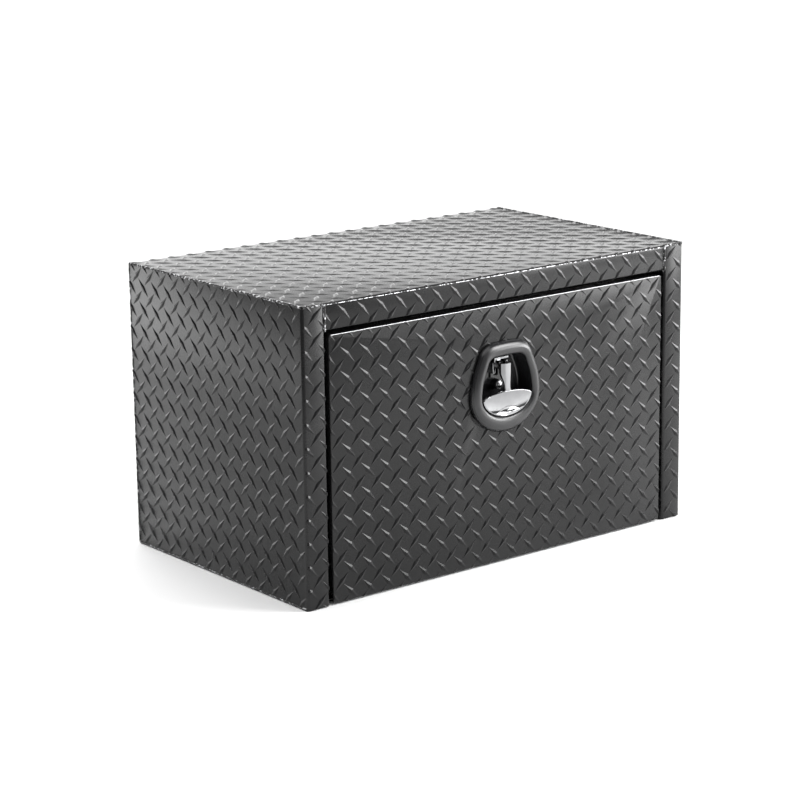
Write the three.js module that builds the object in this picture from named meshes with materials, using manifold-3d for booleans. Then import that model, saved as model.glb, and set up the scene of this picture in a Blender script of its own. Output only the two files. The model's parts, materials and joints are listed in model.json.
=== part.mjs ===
// Underbody tool box in black aluminium tread plate: a welded case with a drop-down front door.
// Millimetres. X runs along the front, Y from the front towards the back, Z up.
// The origin is the middle of the floor's underside.
// Inside the main group Y starts at the front face, so every depth below is measured from there.

import * as THREE from "three";
import { mergeVertices } from "three/addons/utils/BufferGeometryUtils.js";
import Module from "manifold-3d";

const wasm = await Module();
wasm.setup();

// Case: one wrapped sheet for header, top, back and floor, and two side sheets with the door posts
const caseWidth = 762;
const caseDepth = 457.2;
const caseHeight = 457.2;
const plate = 3;
const bendRadius = 1.5;
const frameFace = 41;
const jambDepth = 33;
const stopLip = 16;
const weldGap = 0.3;
const beadWidth = 5;
const beadHeight = 1.4;

// Tread: slim bars pressed up in two crossed sets, half a step apart. Each sheet is cut from the
// plate at its own place, so every sheet has its own first bar, from its lower left corner.
const barLength = 30;
const barWidth = 7.4;
const barHeight = 1.2;
const barSink = 0.3;
const topBarStep = [35.2, 36.1];
const topBarFirst = [6.3, 19.3];
const doorBarStep = [35.2, 36.2];
const doorBarFirst = [31.5, 16.5];
const doorBarMargin = 20;

// Door: an outer tread plate pan closed by a smooth inner sheet, with a bulb seal behind it
const doorGap = 6.5;
const doorLift = 1.5;
const doorThickness = 25;
const innerSheet = 2;
const innerInset = 1;
const cornerRadius = 3;
const edgeRadius = 1.5;
const hingeRelief = 14;
const sealWidth = 8;
const sealInset = 1.5;
const stiffenerWidth = 60;
const stiffenerCrown = 30;
const stiffenerOffset = 190;
const stiffenerMargin = 26;

// Seats: the space left between pieces that touch or turn in each other
const seat = 0.3;
const slideClearance = 0.5;

// Continuous hinge under the door
const knuckleRadius = 4.5;
const hingePinRadius = 2.4;
const hingeLeaf = 2;
const hingeLeafWidth = 34;
const knuckleCount = 16;
const knuckleSpace = 0.6;
const hingeEndMargin = 1;
const rivetRadius = 4;
const rivetHeight = 1.4;
const rivetCount = 7;
const hingePinHead = 1.5;

// Sill angle that clamps the hinge leaf and carries the seal's lower run
const sillHeight = 19;
const sillLeg = 22;
const sillThickness = 2.5;

// Slotted stays that stop the door just above level
const doorSwingDegrees = 85;
const stayRadius = 150;
const stayThickness = 3;
const stayHalfWidth = 9;
const stayPinRadius = 4;
const stayEndWall = 7;
const stayPlaneInset = 9;
const stayStandoff = 11.5;
const stayCaseDepth = 60;
const studHeadRadius = 6.5;
const studHead = 2.6;
const tabThickness = 2.5;
const tabFoot = 16;
const bracketReach = 9;
const bracketHeight = 44;

// Latch: a rounded rim and a bowl let into the door, with a lift handle over the finger space
const latchDrop = 128.7;
const rimHalfWidth = 69;
const rimWidest = -12;
const rimBottom = -67;
const rimHalfTop = 47;
const rimTop = 66.5;
const rimCorner = 21;
const openingHalfWidth = 51;
const openingWidest = -13;
const openingBottom = -45.5;
const openingHalfTop = 36.5;
const openingTop = 50.5;
const openingCorner = 12;
const crownRise = 3;
const rimHeight = 12;
const gasket = 1.5;
const gasketInset = 1;
const bowlDepth = 22;
const bowlWall = 2.5;
const cutoutClearance = 1;

// Lift handle and the lever that draws the bolt
const handleFront = 10;
const handleThickness = 5;
const handleClearance = 1.5;
const stemHalfTop = 8;
const stemHalfNeck = 5.5;
const stemHalfFoot = 9;
const stemTop = 38;
const stemNeck = 4;
const stemSwell = 4.5;
const paddleTop = -6;
const paddleTip = -16;
const paddleDish = 2.6;
const pivotHeight = 33;
const pivotDepth = 8;
const pivotPinRadius = 2.5;
const leverThickness = 7;
const leverHalfHeight = 4.5;
const leverLength = 34;
const handleLiftDegrees = 28;
const earThickness = 4;
const earRadius = 7.5;
const hubFlange = 2.4;
const hubFlangeHalfWidth = 10;
const hubFlangeBottom = 11;
const hubFlangeTop = 43;
const leverSlotTop = 39;
const leverSlotBottom = 13;

// Bolt, its guide, spring and strike
const boltHalfWidth = 8;
const boltThickness = 8;
const boltEngage = 10.8;
const boltBevel = 11;
const boltBevelDepth = 5;
const yokeCheek = 3;
const yokeHalfHeight = 6;
const strikePlate = 2;
const strikeHalfWidth = 28;
const guideSheet = 2;
const guideBottom = 58;
const guideTop = 103;
const guideFoot = 14;
const guideTabReach = 3.5;
const springRadius = 3.2;
const springWire = 0.55;
const springTurns = 9;
const springLugHalf = 4;
const springLugHeight = 4;

// Lock
const barrelRadius = 8;
const plugRadius = 5.6;
const lockFace = 10;
const lockRear = 30;
const keySlotWidth = 1.6;
const keySlotLength = 7;
const keySlotDepth = 6;
const lockCamReach = 14;
const lockCamHalf = 5;
const lockCamThickness = 2;
const lockLegClear = 2;
const lockLegLand = 3.4;
const camScrewRadius = 4;
const camScrewHeight = 2.5;

// Fasteners
const clampSheet = 2;
const clampInset = 3;
const screwRadius = 2.1;
const screwHeadRadius = 4.2;
const screwHead = 2.6;
const screwBite = 5;
const screwClear = 0.4;
const screwPlaceShare = 0.52;
const strikeScrewRadius = 4.5;
const strikeScrewHead = 2.2;
const strikeScrewSpread = 18;

// Fineness of round forms, and how far a cutting solid overruns what it cuts
const bendSteps = 3;
const roundSteps = 12;
const rivetSteps = 8;
const knuckleSteps = 10;
const outlineSteps = 36;
const springSteps = 8;
const wireSides = 5;
const overrun = 20;
const mergeTolerance = 1e-4;

// Where things lie, from the sizes above
const stayDoorDepth = doorThickness + stayStandoff;
const halfWidth = caseWidth / 2;
const doorHalfWidth = halfWidth - frameFace - doorGap;
const doorTop = caseHeight - frameFace - doorGap;
const doorReturn = doorThickness - innerSheet - seat;
const openingEdge = halfWidth - frameFace - stopLip;
const hingeOffset = plate + seat + knuckleRadius;
const floorFront = hingeOffset + Math.hypot(hingeOffset, hingeOffset - doorLift) + 2 * slideClearance;
const hingeHalfLength = openingEdge - hingeEndMargin;
const latchHeight = doorTop - latchDrop;
const lipBottom = caseHeight - frameFace - stopLip;
const strikeRear = jambDepth + plate + strikePlate;
const boltFront = strikeRear + slideClearance;
const boltRear = boltFront + boltThickness;
const boltTop = lipBottom - latchHeight + boltEngage;
const boltTravel = leverLength * Math.sin(THREE.MathUtils.degToRad(handleLiftDegrees));

const tread = new THREE.MeshStandardMaterial({ color: 0x2b2c2e, roughness: 0.55, metalness: 0.4 });
const smooth = new THREE.MeshStandardMaterial({ color: 0xa6a8aa, roughness: 0.4, metalness: 1 });
const steel = new THREE.MeshStandardMaterial({ color: 0xb8bcc0, roughness: 0.3, metalness: 1 });
const chrome = new THREE.MeshStandardMaterial({ color: 0xe4e6e8, roughness: 0.05, metalness: 1 });
const rubber = new THREE.MeshStandardMaterial({ color: 0x121212, roughness: 0.85, metalness: 0 });
const moulded = new THREE.MeshStandardMaterial({ color: 0x191a1b, roughness: 0.35, metalness: 0 });

function solidOf(geometry) {
  geometry.deleteAttribute("normal");
  geometry.deleteAttribute("uv");
  const merged = mergeVertices(geometry, mergeTolerance);
  const vertProperties = new Float32Array(merged.attributes.position.array);
  const triVerts = new Uint32Array(merged.index.array);
  return new wasm.Manifold(new wasm.Mesh({ numProp: 3, vertProperties, triVerts }));
}

function geometryOf(solid) {
  const { numProp, vertProperties, triVerts } = solid.getMesh();
  const geometry = new THREE.BufferGeometry();
  geometry.setAttribute("position", new THREE.BufferAttribute(vertProperties, numProp));
  geometry.setIndex(new THREE.BufferAttribute(triVerts, 1));
  geometry.computeVertexNormals();
  return geometry;
}

function addPiece(group, name, solid, material) {
  const mesh = new THREE.Mesh(geometryOf(solid), material);
  mesh.name = name;
  group.add(mesh);
  return mesh;
}

const joined = (solids) => solids.reduce((all, one) => all.add(one));
const cut = (solid, cutters) => cutters.reduce((left, one) => left.subtract(one), solid);

// A block between two corners
function block(x0, x1, y0, y1, z0, z1) {
  const geometry = new THREE.BoxGeometry(x1 - x0, y1 - y0, z1 - z0);
  return solidOf(geometry.translate((x0 + x1) / 2, (y0 + y1) / 2, (z0 + z1) / 2));
}

// Extrusions of an outline: along X from a (y, z) outline, along Y from (x, z) and along Z from (x, y)
const alongX = new THREE.Matrix4().makeBasis(
  new THREE.Vector3(0, 1, 0), new THREE.Vector3(0, 0, 1), new THREE.Vector3(1, 0, 0));
const alongY = new THREE.Matrix4().makeRotationX(Math.PI / 2);

function extrude(shape, depth, bevel = {}) {
  return new THREE.ExtrudeGeometry(shape, { depth, bevelEnabled: false, curveSegments: roundSteps / 4, ...bevel });
}

function prismX(shape, x0, x1) {
  return solidOf(extrude(shape, x1 - x0).applyMatrix4(alongX).translate(x0, 0, 0));
}

function prismY(shape, y0, y1, bevel) {
  return solidOf(extrude(shape, y1 - y0, bevel).applyMatrix4(alongY).translate(0, y1, 0));
}

function prismZ(shape, z0, z1) {
  return solidOf(extrude(shape, z1 - z0).translate(0, 0, z0));
}

// Round bars along X and Y
function rodX(radius, x0, x1, y, z, steps = roundSteps) {
  const geometry = new THREE.CylinderGeometry(radius, radius, x1 - x0, steps).rotateZ(-Math.PI / 2);
  return solidOf(geometry.translate((x0 + x1) / 2, y, z));
}

function rodY(radius, y0, y1, x, z, steps = roundSteps) {
  const geometry = new THREE.CylinderGeometry(radius, radius, y1 - y0, steps);
  return solidOf(geometry.translate(x, (y0 + y1) / 2, z));
}

// A domed rivet or screw head that stands on a face at y and points along +Y
function headY(radius, height, x, y, z) {
  const dome = [[0, 0], [radius, 0], [radius, height / 3], [radius / 2, height], [0, height]];
  const points = dome.map(([r, h]) => new THREE.Vector2(r, h));
  return solidOf(new THREE.LatheGeometry(points, rivetSteps).translate(x, y, z));
}

// The bars of a flat sheet from (0, 0) to (width, height), on the side that Z points to: slim pyramids
// that stand in the sheet. Only whole bars are made, past a plain edge and a plain foot.
function treadBars(width, height, first, step, edge, foot = edge) {
  const full = barHeight + barSink;
  const base = full / barHeight;
  const reach = (barLength / 2) * Math.SQRT1_2;
  const pyramid = new THREE.ConeGeometry(base / 2, full, 4).rotateX(Math.PI / 2);
  pyramid.scale(barLength, barWidth, 1).translate(0, 0, full / 2 - barSink);
  const bars = [];
  for (const [shift, turn] of [[0, -Math.PI / 4], [1 / 2, Math.PI / 4]]) {
    const bar = pyramid.clone().rotateZ(turn);
    const [startX, startY] = step.map((pitch, axis) => (first[axis] + shift * pitch) % pitch);
    for (let x = startX; x < width - reach - edge; x += step[0]) {
      for (let y = startY; y < height - reach - edge; y += step[1]) {
        if (x > reach + edge && y > reach + foot) bars.push(solidOf(bar.clone().translate(x, y, 0)));
      }
    }
  }
  return wasm.Manifold.union(bars);
}

// The outline of a sheet folded along its middle line, with a round bend at every inner point
function foldedSheet(corners, thickness) {
  const middleRadius = bendRadius + thickness / 2;
  const points = corners.map(([a, b]) => new THREE.Vector2(a, b));
  const left = (d) => new THREE.Vector2(-d.y, d.x);
  const line = [];
  points.forEach((point, i) => {
    const before = i > 0 ? point.clone().sub(points[i - 1]).normalize() : null;
    const after = i < points.length - 1 ? points[i + 1].clone().sub(point).normalize() : null;
    if (!before || !after) {
      line.push({ at: point, normal: left(before || after) });
      return;
    }
    const turn = Math.atan2(before.cross(after), before.dot(after));
    const trim = middleRadius * Math.tan(Math.abs(turn) / 2);
    const start = point.clone().addScaledVector(before, -trim);
    const centre = start.clone().addScaledVector(left(before), middleRadius * Math.sign(turn));
    for (let step = 0; step <= bendSteps; step++) {
      const normal = left(before).rotateAround(new THREE.Vector2(), (turn * step) / bendSteps);
      line.push({ at: centre.clone().addScaledVector(normal, -middleRadius * Math.sign(turn)), normal });
    }
  });
  const side = (way) => line.map(({ at, normal }) => at.clone().addScaledVector(normal, (way * thickness) / 2));
  return new THREE.Shape([...side(1), ...side(-1).reverse()]);
}

function rectangle(x0, x1, z0, z1, radius = 0) {
  const shape = new THREE.Shape();
  if (!radius) return new THREE.Shape([[x0, z0], [x1, z0], [x1, z1], [x0, z1]].map(([x, z]) => new THREE.Vector2(x, z)));
  shape.moveTo(x0 + radius, z0);
  shape.lineTo(x1 - radius, z0).absarc(x1 - radius, z0 + radius, radius, -Math.PI / 2, 0, false);
  shape.lineTo(x1, z1 - radius).absarc(x1 - radius, z1 - radius, radius, 0, Math.PI / 2, false);
  shape.lineTo(x0 + radius, z1).absarc(x0 + radius, z1 - radius, radius, Math.PI / 2, Math.PI, false);
  shape.lineTo(x0, z0 + radius).absarc(x0 + radius, z0 + radius, radius, Math.PI, Math.PI * 1.5, false);
  return shape;
}

// Case

function caseWrap() {
  const face = plate / 2;
  const returnHeight = caseHeight - frameFace + plate / 2;
  const lip = jambDepth + plate / 2;
  const profile = foldedSheet([
    [lip, lipBottom], [lip, returnHeight], [face, returnHeight], [face, caseHeight - face],
    [caseDepth - face, caseHeight - face], [caseDepth - face, face], [floorFront, face],
  ], plate);
  const half = halfWidth - plate - weldGap;
  const post = halfWidth - frameFace - weldGap;
  const under = caseHeight - plate - weldGap;
  const behind = jambDepth + plate + weldGap;
  const notches = [-1, 1].flatMap((way) => {
    const outer = way * (halfWidth + overrun);
    const notch = (inner, y0, y1, z0, z1) =>
      block(Math.min(way * inner, outer), Math.max(way * inner, outer), y0, y1, z0, z1);
    return [
      notch(post, -overrun, behind, hingeRelief, under),
      notch(post, -overrun, plate + weldGap, under - overrun, caseHeight + overrun),
      notch(openingEdge - weldGap, jambDepth - bendRadius - weldGap, behind, hingeRelief, under),
    ];
  });
  const bend = plate + bendRadius;
  const bars = treadBars(2 * half, caseDepth - 2 * bend, topBarFirst, topBarStep, beadWidth / 2)
    .translate([-half, bend, caseHeight]);
  return cut(prismX(profile, -half, half), notches).add(bars);
}

// The left side sheet; the right one is its mirror image
function sideSheet() {
  const face = plate / 2;
  const post = -halfWidth + frameFace - face;
  const profile = foldedSheet([
    [-openingEdge, jambDepth + face], [post, jambDepth + face], [post, face],
    [-halfWidth + face, face], [-halfWidth + face, caseDepth],
  ], plate);
  const inside = -halfWidth + plate + weldGap;
  const trim = (z0, z1) => block(inside, 0, plate + weldGap, caseDepth + overrun, z0, z1);
  const trims = [trim(-overrun, plate + weldGap), trim(caseHeight - plate - weldGap, caseHeight + overrun)];
  return cut(prismZ(profile, 0, caseHeight), trims);
}

// A weld bead down the seam between the header and a door post
function seamBead() {
  const points = [0, 0.2, 0.5, 0.8, 1].map((share) =>
    new THREE.Vector2((share - 0.5) * beadWidth, -beadHeight * Math.sin(Math.PI * share)));
  return prismZ(new THREE.Shape(points), caseHeight - frameFace + bendRadius, caseHeight - plate);
}

function sillAngle() {
  const base = plate + seat + hingeLeaf + seat;
  const profile = foldedSheet([
    [jambDepth + sillThickness / 2, base + sillHeight],
    [jambDepth + sillThickness / 2, base + sillThickness / 2],
    [jambDepth + sillLeg, base + sillThickness / 2],
  ], sillThickness);
  return prismX(profile, -hingeHalfLength, hingeHalfLength);
}

// Hinge

const knucklePitch = (2 * hingeHalfLength) / knuckleCount;

// The knuckles of one leaf: every second one, from the first or the second place
function knuckles(first) {
  const places = [];
  for (let i = first; i < knuckleCount; i += 2) places.push(-hingeHalfLength + i * knucklePitch);
  const tube = (x) =>
    rodX(knuckleRadius, x + knuckleSpace / 2, x + knucklePitch - knuckleSpace / 2, hingeOffset, hingeOffset,
      knuckleSteps);
  return joined(places.map(tube));
}

// Room beside a leaf for the other leaf's knuckles
function knuckleRoom(first) {
  const rooms = [];
  for (let i = first; i < knuckleCount; i += 2) {
    const x = -hingeHalfLength + i * knucklePitch;
    rooms.push(rodX(knuckleRadius + slideClearance, x - knuckleSpace / 2, x + knucklePitch + knuckleSpace / 2,
      hingeOffset, hingeOffset, knuckleSteps));
  }
  return rooms;
}

const hingeBore = () =>
  rodX(hingePinRadius + seat, -hingeHalfLength - overrun, hingeHalfLength + overrun, hingeOffset, hingeOffset,
    knuckleSteps);
const rivetPlaces = Array.from({ length: rivetCount },
  (_, i) => (2 * hingeHalfLength * (i + 0.5)) / rivetCount - hingeHalfLength);

function hingeLeafCase() {
  const low = plate + seat;
  const leaf = block(-hingeHalfLength, hingeHalfLength, hingeOffset, hingeOffset + hingeLeafWidth, low, low + hingeLeaf);
  return cut(joined([cut(leaf, knuckleRoom(1)), knuckles(0)]), [hingeBore()]);
}

function hingeLeafDoor() {
  const front = plate + seat;
  const leaf = block(-hingeHalfLength, hingeHalfLength, front, front + hingeLeaf, hingeOffset, hingeOffset + hingeLeafWidth);
  const heads = rivetPlaces.map((x) =>
    headY(rivetRadius, rivetHeight, x, front + hingeLeaf - seat / 3, hingeOffset + hingeLeafWidth * 0.7));
  return cut(joined([cut(leaf, knuckleRoom(0)), knuckles(1), ...heads]), [hingeBore()]);
}

function hingePin() {
  const end = hingeHalfLength + hingePinHead;
  const heads = [-1, 1].map((way) => {
    const inner = way * (hingeHalfLength + slideClearance / 2);
    const outer = way * end;
    return rodX(knuckleRadius - seat, Math.min(inner, outer), Math.max(inner, outer), hingeOffset, hingeOffset);
  });
  return joined([rodX(hingePinRadius, -end, end, hingeOffset, hingeOffset, knuckleSteps), ...heads]);
}

// Latch outlines, in X and in height above the latch's middle

function latchOutline(half, widest, bottom, halfTop, top, corner) {
  const shoulder = top - crownRise;
  const slope = new THREE.Vector2(halfTop - half, shoulder - widest).normalize();
  const sideEnd = new THREE.Vector2(halfTop, shoulder).addScaledVector(slope, -corner);
  const shape = new THREE.Shape();
  shape.moveTo(0, bottom);
  shape.absellipse(0, widest, half, widest - bottom, -Math.PI / 2, 0, false);
  shape.quadraticCurveTo(half, (widest + sideEnd.y) / 2, sideEnd.x, sideEnd.y);
  shape.quadraticCurveTo(halfTop, shoulder, halfTop - corner, top - crownRise / 4);
  shape.quadraticCurveTo((halfTop - corner) / 2, top, 0, top);
  const right = shape.getSpacedPoints(outlineSteps / 2);
  const left = right.slice(1, -1).reverse().map((p) => new THREE.Vector2(-p.x, p.y));
  return [...right, ...left];
}

const rimLine = latchOutline(rimHalfWidth, rimWidest, rimBottom, rimHalfTop, rimTop, rimCorner);
const openingLine = latchOutline(openingHalfWidth, openingWidest, openingBottom, openingHalfTop, openingTop, openingCorner);

// The same outline moved outwards, or inwards where the distance is negative
function grown(line, distance) {
  return line.map((point, i) => {
    const before = line[(i + line.length - 1) % line.length];
    const after = line[(i + 1) % line.length];
    const along = after.clone().sub(before).normalize();
    return new THREE.Vector2(point.x + along.y * distance, point.y - along.x * distance);
  });
}

const between = (one, other, share) => one.map((point, i) => point.clone().lerp(other[i], share));

// A solid from outlines stacked in depth: rings of [outline, y], closed at both ends by a fan
function loft(rings) {
  const count = rings[0][0].length;
  const positions = rings.flatMap(([line, y]) => line.flatMap((p) => [p.x, y, p.y]));
  const middle = ([line, y]) => {
    const sum = line.reduce((all, p) => all.add(p), new THREE.Vector2()).divideScalar(count);
    return [sum.x, y, sum.y];
  };
  const last = (rings.length - 1) * count;
  const firstCentre = positions.length / 3;
  positions.push(...middle(rings[0]), ...middle(rings[rings.length - 1]));
  const index = [];
  for (let i = 0; i < count; i++) {
    const next = (i + 1) % count;
    index.push(firstCentre, next, i, firstCentre + 1, last + i, last + next);
    for (let ring = 0; ring < rings.length - 1; ring++) {
      const a = ring * count;
      const b = a + count;
      index.push(a + i, a + next, b + i, a + next, b + next, b + i);
    }
  }
  const geometry = new THREE.BufferGeometry();
  geometry.setAttribute("position", new THREE.Float32BufferAttribute(positions, 3));
  geometry.setIndex(index);
  return solidOf(geometry);
}

const screwPlaces = [0.13, 0.37, 0.63, 0.87].map((share) => {
  const i = Math.round(share * outlineSteps) % outlineSteps;
  return between(rimLine, openingLine, screwPlaceShare)[i];
});

const flangeBack = -gasket - seat;

function latchBowl() {
  const rimShares = [[0, 0.55], [0.1, 0.84], [0.28, 0.98], [0.48, 1], [0.72, 0.93], [0.92, 0.8], [1, 0.66]];
  const wallLine = grown(openingLine, bowlWall);
  const shell = loft([
    [wallLine, bowlDepth + bowlWall], [wallLine, flangeBack], [rimLine, flangeBack],
    ...rimShares.map(([across, up]) => [between(rimLine, openingLine, across), -rimHeight * up]),
    [openingLine, bowlDepth],
  ]);
  const slot = block(-leverThickness / 2 - 1, leverThickness / 2 + 1, 0, bowlDepth + overrun, leverSlotBottom, leverSlotTop);
  const lockHole = rodY(barrelRadius + seat, 0, bowlDepth + overrun, 0, 0);
  const threads = screwPlaces.map((p) =>
    rodY(screwRadius + screwClear / 2, flangeBack - screwBite - seat, overrun, p.x, p.y, roundSteps / 2));
  return cut(shell, [slot, lockHole, ...threads]);
}

const holesForScrews = (radius) =>
  screwPlaces.map((p) => rodY(radius, -overrun, doorThickness + overrun, p.x, p.y, roundSteps / 2));
const latchCutout = () => prismY(new THREE.Shape(grown(openingLine, bowlWall + cutoutClearance)), -overrun, doorThickness + overrun);

function latchGasket() {
  const ring = prismY(new THREE.Shape(grown(rimLine, -gasketInset)), -gasket, 0);
  return cut(ring, [latchCutout(), ...holesForScrews(screwRadius + screwClear)]);
}

// Door

function doorSkin() {
  const bevel = { bevelEnabled: true, bevelSize: edgeRadius, bevelThickness: edgeRadius, bevelSegments: 2 };
  const e = edgeRadius;
  const outline = rectangle(-doorHalfWidth + e, doorHalfWidth - e, doorLift + e, doorTop - e, cornerRadius);
  const slab = prismY(outline, edgeRadius, doorReturn + overrun, bevel);
  const inside = doorHalfWidth - plate;
  const hollow = block(-inside, inside, plate, doorReturn + 2 * overrun, -overrun, doorTop - plate);
  const rear = block(-halfWidth, halfWidth, doorReturn, doorReturn + 2 * overrun, -overrun, caseHeight);
  const relief = block(-halfWidth, halfWidth, plate, doorReturn + overrun, -overrun, hingeRelief);
  const rim = prismY(new THREE.Shape(grown(rimLine, seat)), -overrun, overrun).translate([0, 0, latchHeight]);
  const bars = treadBars(2 * doorHalfWidth, doorTop - doorLift, doorBarFirst, doorBarStep, edgeRadius, doorBarMargin)
    .rotate([90, 0, 0]).translate([-doorHalfWidth, 0, doorLift]);
  return cut(slab, [hollow, rear, relief]).add(cut(bars, [rim]));
}

function innerPan() {
  const half = doorHalfWidth - innerInset;
  const back = block(-half, half, doorThickness - innerSheet, doorThickness, hingeRelief, doorTop - innerInset);
  const foot = block(-doorHalfWidth + plate + seat, doorHalfWidth - plate - seat,
    plate + seat + hingeLeaf + rivetHeight + seat, doorThickness, hingeRelief, hingeRelief + innerSheet);
  return back.add(foot);
}

function doorSeal() {
  const half = doorHalfWidth - sealInset;
  const low = hingeRelief + seat;
  const high = doorTop - sealInset;
  const round = sealWidth / 4;
  const ring = rectangle(-half + round, half - round, low + round, high - round, cornerRadius);
  ring.holes.push(rectangle(-half + sealWidth - round, half - sealWidth + round,
    low + sealWidth - round, high - sealWidth + round, cornerRadius));
  const bevel = { bevelEnabled: true, bevelSize: round, bevelThickness: round, bevelSegments: 1 };
  return prismY(ring, doorThickness + seat + round, jambDepth - seat - round, bevel);
}

// A hat section bonded between the two door sheets
function stiffener(x) {
  const deep = doorReturn - seat;
  const low = plate + seat;
  const foot = (stiffenerWidth - stiffenerCrown) / 2;
  const t = innerSheet;
  const profile = foldedSheet([
    [x - stiffenerWidth / 2, low + t / 2], [x - stiffenerWidth / 2 + foot, low + t / 2],
    [x - stiffenerCrown / 2 + foot / 3, deep - t / 2], [x + stiffenerCrown / 2 - foot / 3, deep - t / 2],
    [x + stiffenerWidth / 2 - foot, low + t / 2], [x + stiffenerWidth / 2, low + t / 2],
  ], t);
  return prismZ(profile, hingeOffset + hingeLeafWidth + stiffenerMargin / 2, doorTop - stiffenerMargin);
}

// Latch pieces

// Depth of the stem's back at a height: the stem swells from its neck up to its top
const stemBack = (z) => -handleFront + handleThickness + (stemSwell * (z - stemNeck)) / (stemTop - stemNeck);

const paddleLine = () => {
  const fit = grown(openingLine, -handleClearance);
  const lower = fit.filter((p) => p.y < paddleTip);
  const half = lower.length / 2;
  const start = lower.findIndex((p) => p.x < 0);
  const under = [...lower.slice(start), ...lower.slice(0, start)];
  const tip = Math.max(...lower.map((p) => p.x));
  const arc = Array.from({ length: half }, (_, i) => {
    const share = (i + 1) / (half + 1);
    const x = tip * (1 - 2 * share);
    return new THREE.Vector2(x, paddleTip + (paddleTop - paddleTip) * (1 - (x / tip) ** 2) ** 0.6);
  });
  return [...under, ...arc];
};

function handlePlate() {
  const line = paddleLine();
  const centre = new THREE.Vector2(0, (paddleTop + openingBottom) / 2);
  const scaled = (share) => line.map((p) => p.clone().sub(centre).multiplyScalar(share).add(centre));
  const dishShares = [[0.95, 0], [0.8, 0.3], [0.55, 0.8], [0.25, 1]];
  const paddle = loft([
    [scaled(0.25), -handleFront + handleThickness + paddleDish], [scaled(0.7), -handleFront + handleThickness + paddleDish / 2],
    [scaled(1), -handleFront + handleThickness / 2], [scaled(1), -handleFront + handleThickness / 6],
    ...dishShares.map(([share, deep]) => [scaled(share), -handleFront + paddleDish * deep]),
  ]);
  const stem = new THREE.Shape();
  stem.moveTo(-stemHalfTop, stemTop);
  stem.lineTo(stemHalfTop, stemTop);
  stem.quadraticCurveTo(stemHalfTop, (stemTop + stemNeck) / 2, stemHalfNeck, stemNeck);
  stem.quadraticCurveTo(stemHalfNeck, paddleTop, stemHalfFoot, paddleTop - paddleDish);
  stem.lineTo(-stemHalfFoot, paddleTop - paddleDish);
  stem.quadraticCurveTo(-stemHalfNeck, paddleTop, -stemHalfNeck, stemNeck);
  stem.quadraticCurveTo(-stemHalfTop, (stemTop + stemNeck) / 2, -stemHalfTop, stemTop);
  const e = handleThickness / 4;
  const bevel = { bevelEnabled: true, bevelSize: e, bevelThickness: e, bevelSegments: 1, bevelOffset: -e };
  const face = -handleFront + handleThickness / 2;
  const above = stemTop + overrun;
  const side = new THREE.Shape([[face, stemNeck], [stemBack(stemNeck), stemNeck], [stemBack(above), above],
    [face, above]].map(([y, z]) => new THREE.Vector2(y, z)));
  const swell = prismX(side, -stemHalfTop - overrun, stemHalfTop + overrun).intersect(prismY(stem, face - e, 0));
  return joined([paddle, prismY(stem, -handleFront + e, -handleFront + handleThickness - e, bevel), swell]);
}

function handleLever() {
  const half = leverThickness / 2;
  const tip = pivotDepth + leverLength;
  const h = leverHalfHeight;
  const root = [pivotHeight - h, pivotHeight + h / 2].map((z) => [stemBack(z) + seat, z]);
  const points = [root[0], [pivotDepth, pivotHeight - earRadius + 1], [tip, pivotHeight - h],
    [tip + h, pivotHeight - h / 2], [tip + h, pivotHeight + h / 2], [tip, pivotHeight + h],
    [pivotDepth, pivotHeight + h], root[1]];
  const bar = prismX(new THREE.Shape(points.map(([y, z]) => new THREE.Vector2(y, z))), -half, half);
  return cut(bar, [
    rodX(pivotPinRadius + seat, -overrun, overrun, pivotDepth, pivotHeight),
    rodX(pivotPinRadius + seat, -overrun, overrun, tip, pivotHeight),
  ]);
}

function pivotHub() {
  const inner = leverThickness / 2 + slideClearance;
  const floor = bowlDepth - seat;
  const flange = block(-hubFlangeHalfWidth, hubFlangeHalfWidth, floor - hubFlange, floor, hubFlangeBottom, hubFlangeTop);
  const slot = block(-inner, inner, 0, floor + overrun, leverSlotBottom, leverSlotTop);
  const ears = [-1, 1].map((way) => {
    const x0 = Math.min(way * inner, way * (inner + earThickness));
    const x1 = Math.max(way * inner, way * (inner + earThickness));
    const web = block(x0, x1, pivotDepth, floor - hubFlange / 2, pivotHeight - earRadius, pivotHeight + earRadius);
    return web.add(rodX(earRadius, x0, x1, pivotDepth, pivotHeight, 2 * roundSteps));
  });
  const bore = rodX(pivotPinRadius + seat, -overrun, overrun, pivotDepth, pivotHeight);
  return cut(joined([cut(flange, [slot]), ...ears]), [bore]);
}

const earOuter = leverThickness / 2 + slideClearance + earThickness;

function pivotPin() {
  const head = rodX(pivotPinRadius * 1.5, -earOuter - seat - pivotPinRadius / 2, -earOuter - seat, pivotDepth, pivotHeight);
  return head.add(rodX(pivotPinRadius, -earOuter - seat, earOuter + seat, pivotDepth, pivotHeight));
}

function drivePin() {
  const reach = boltHalfWidth + seat;
  return rodX(pivotPinRadius, -reach, reach, pivotDepth + leverLength, pivotHeight);
}

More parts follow.
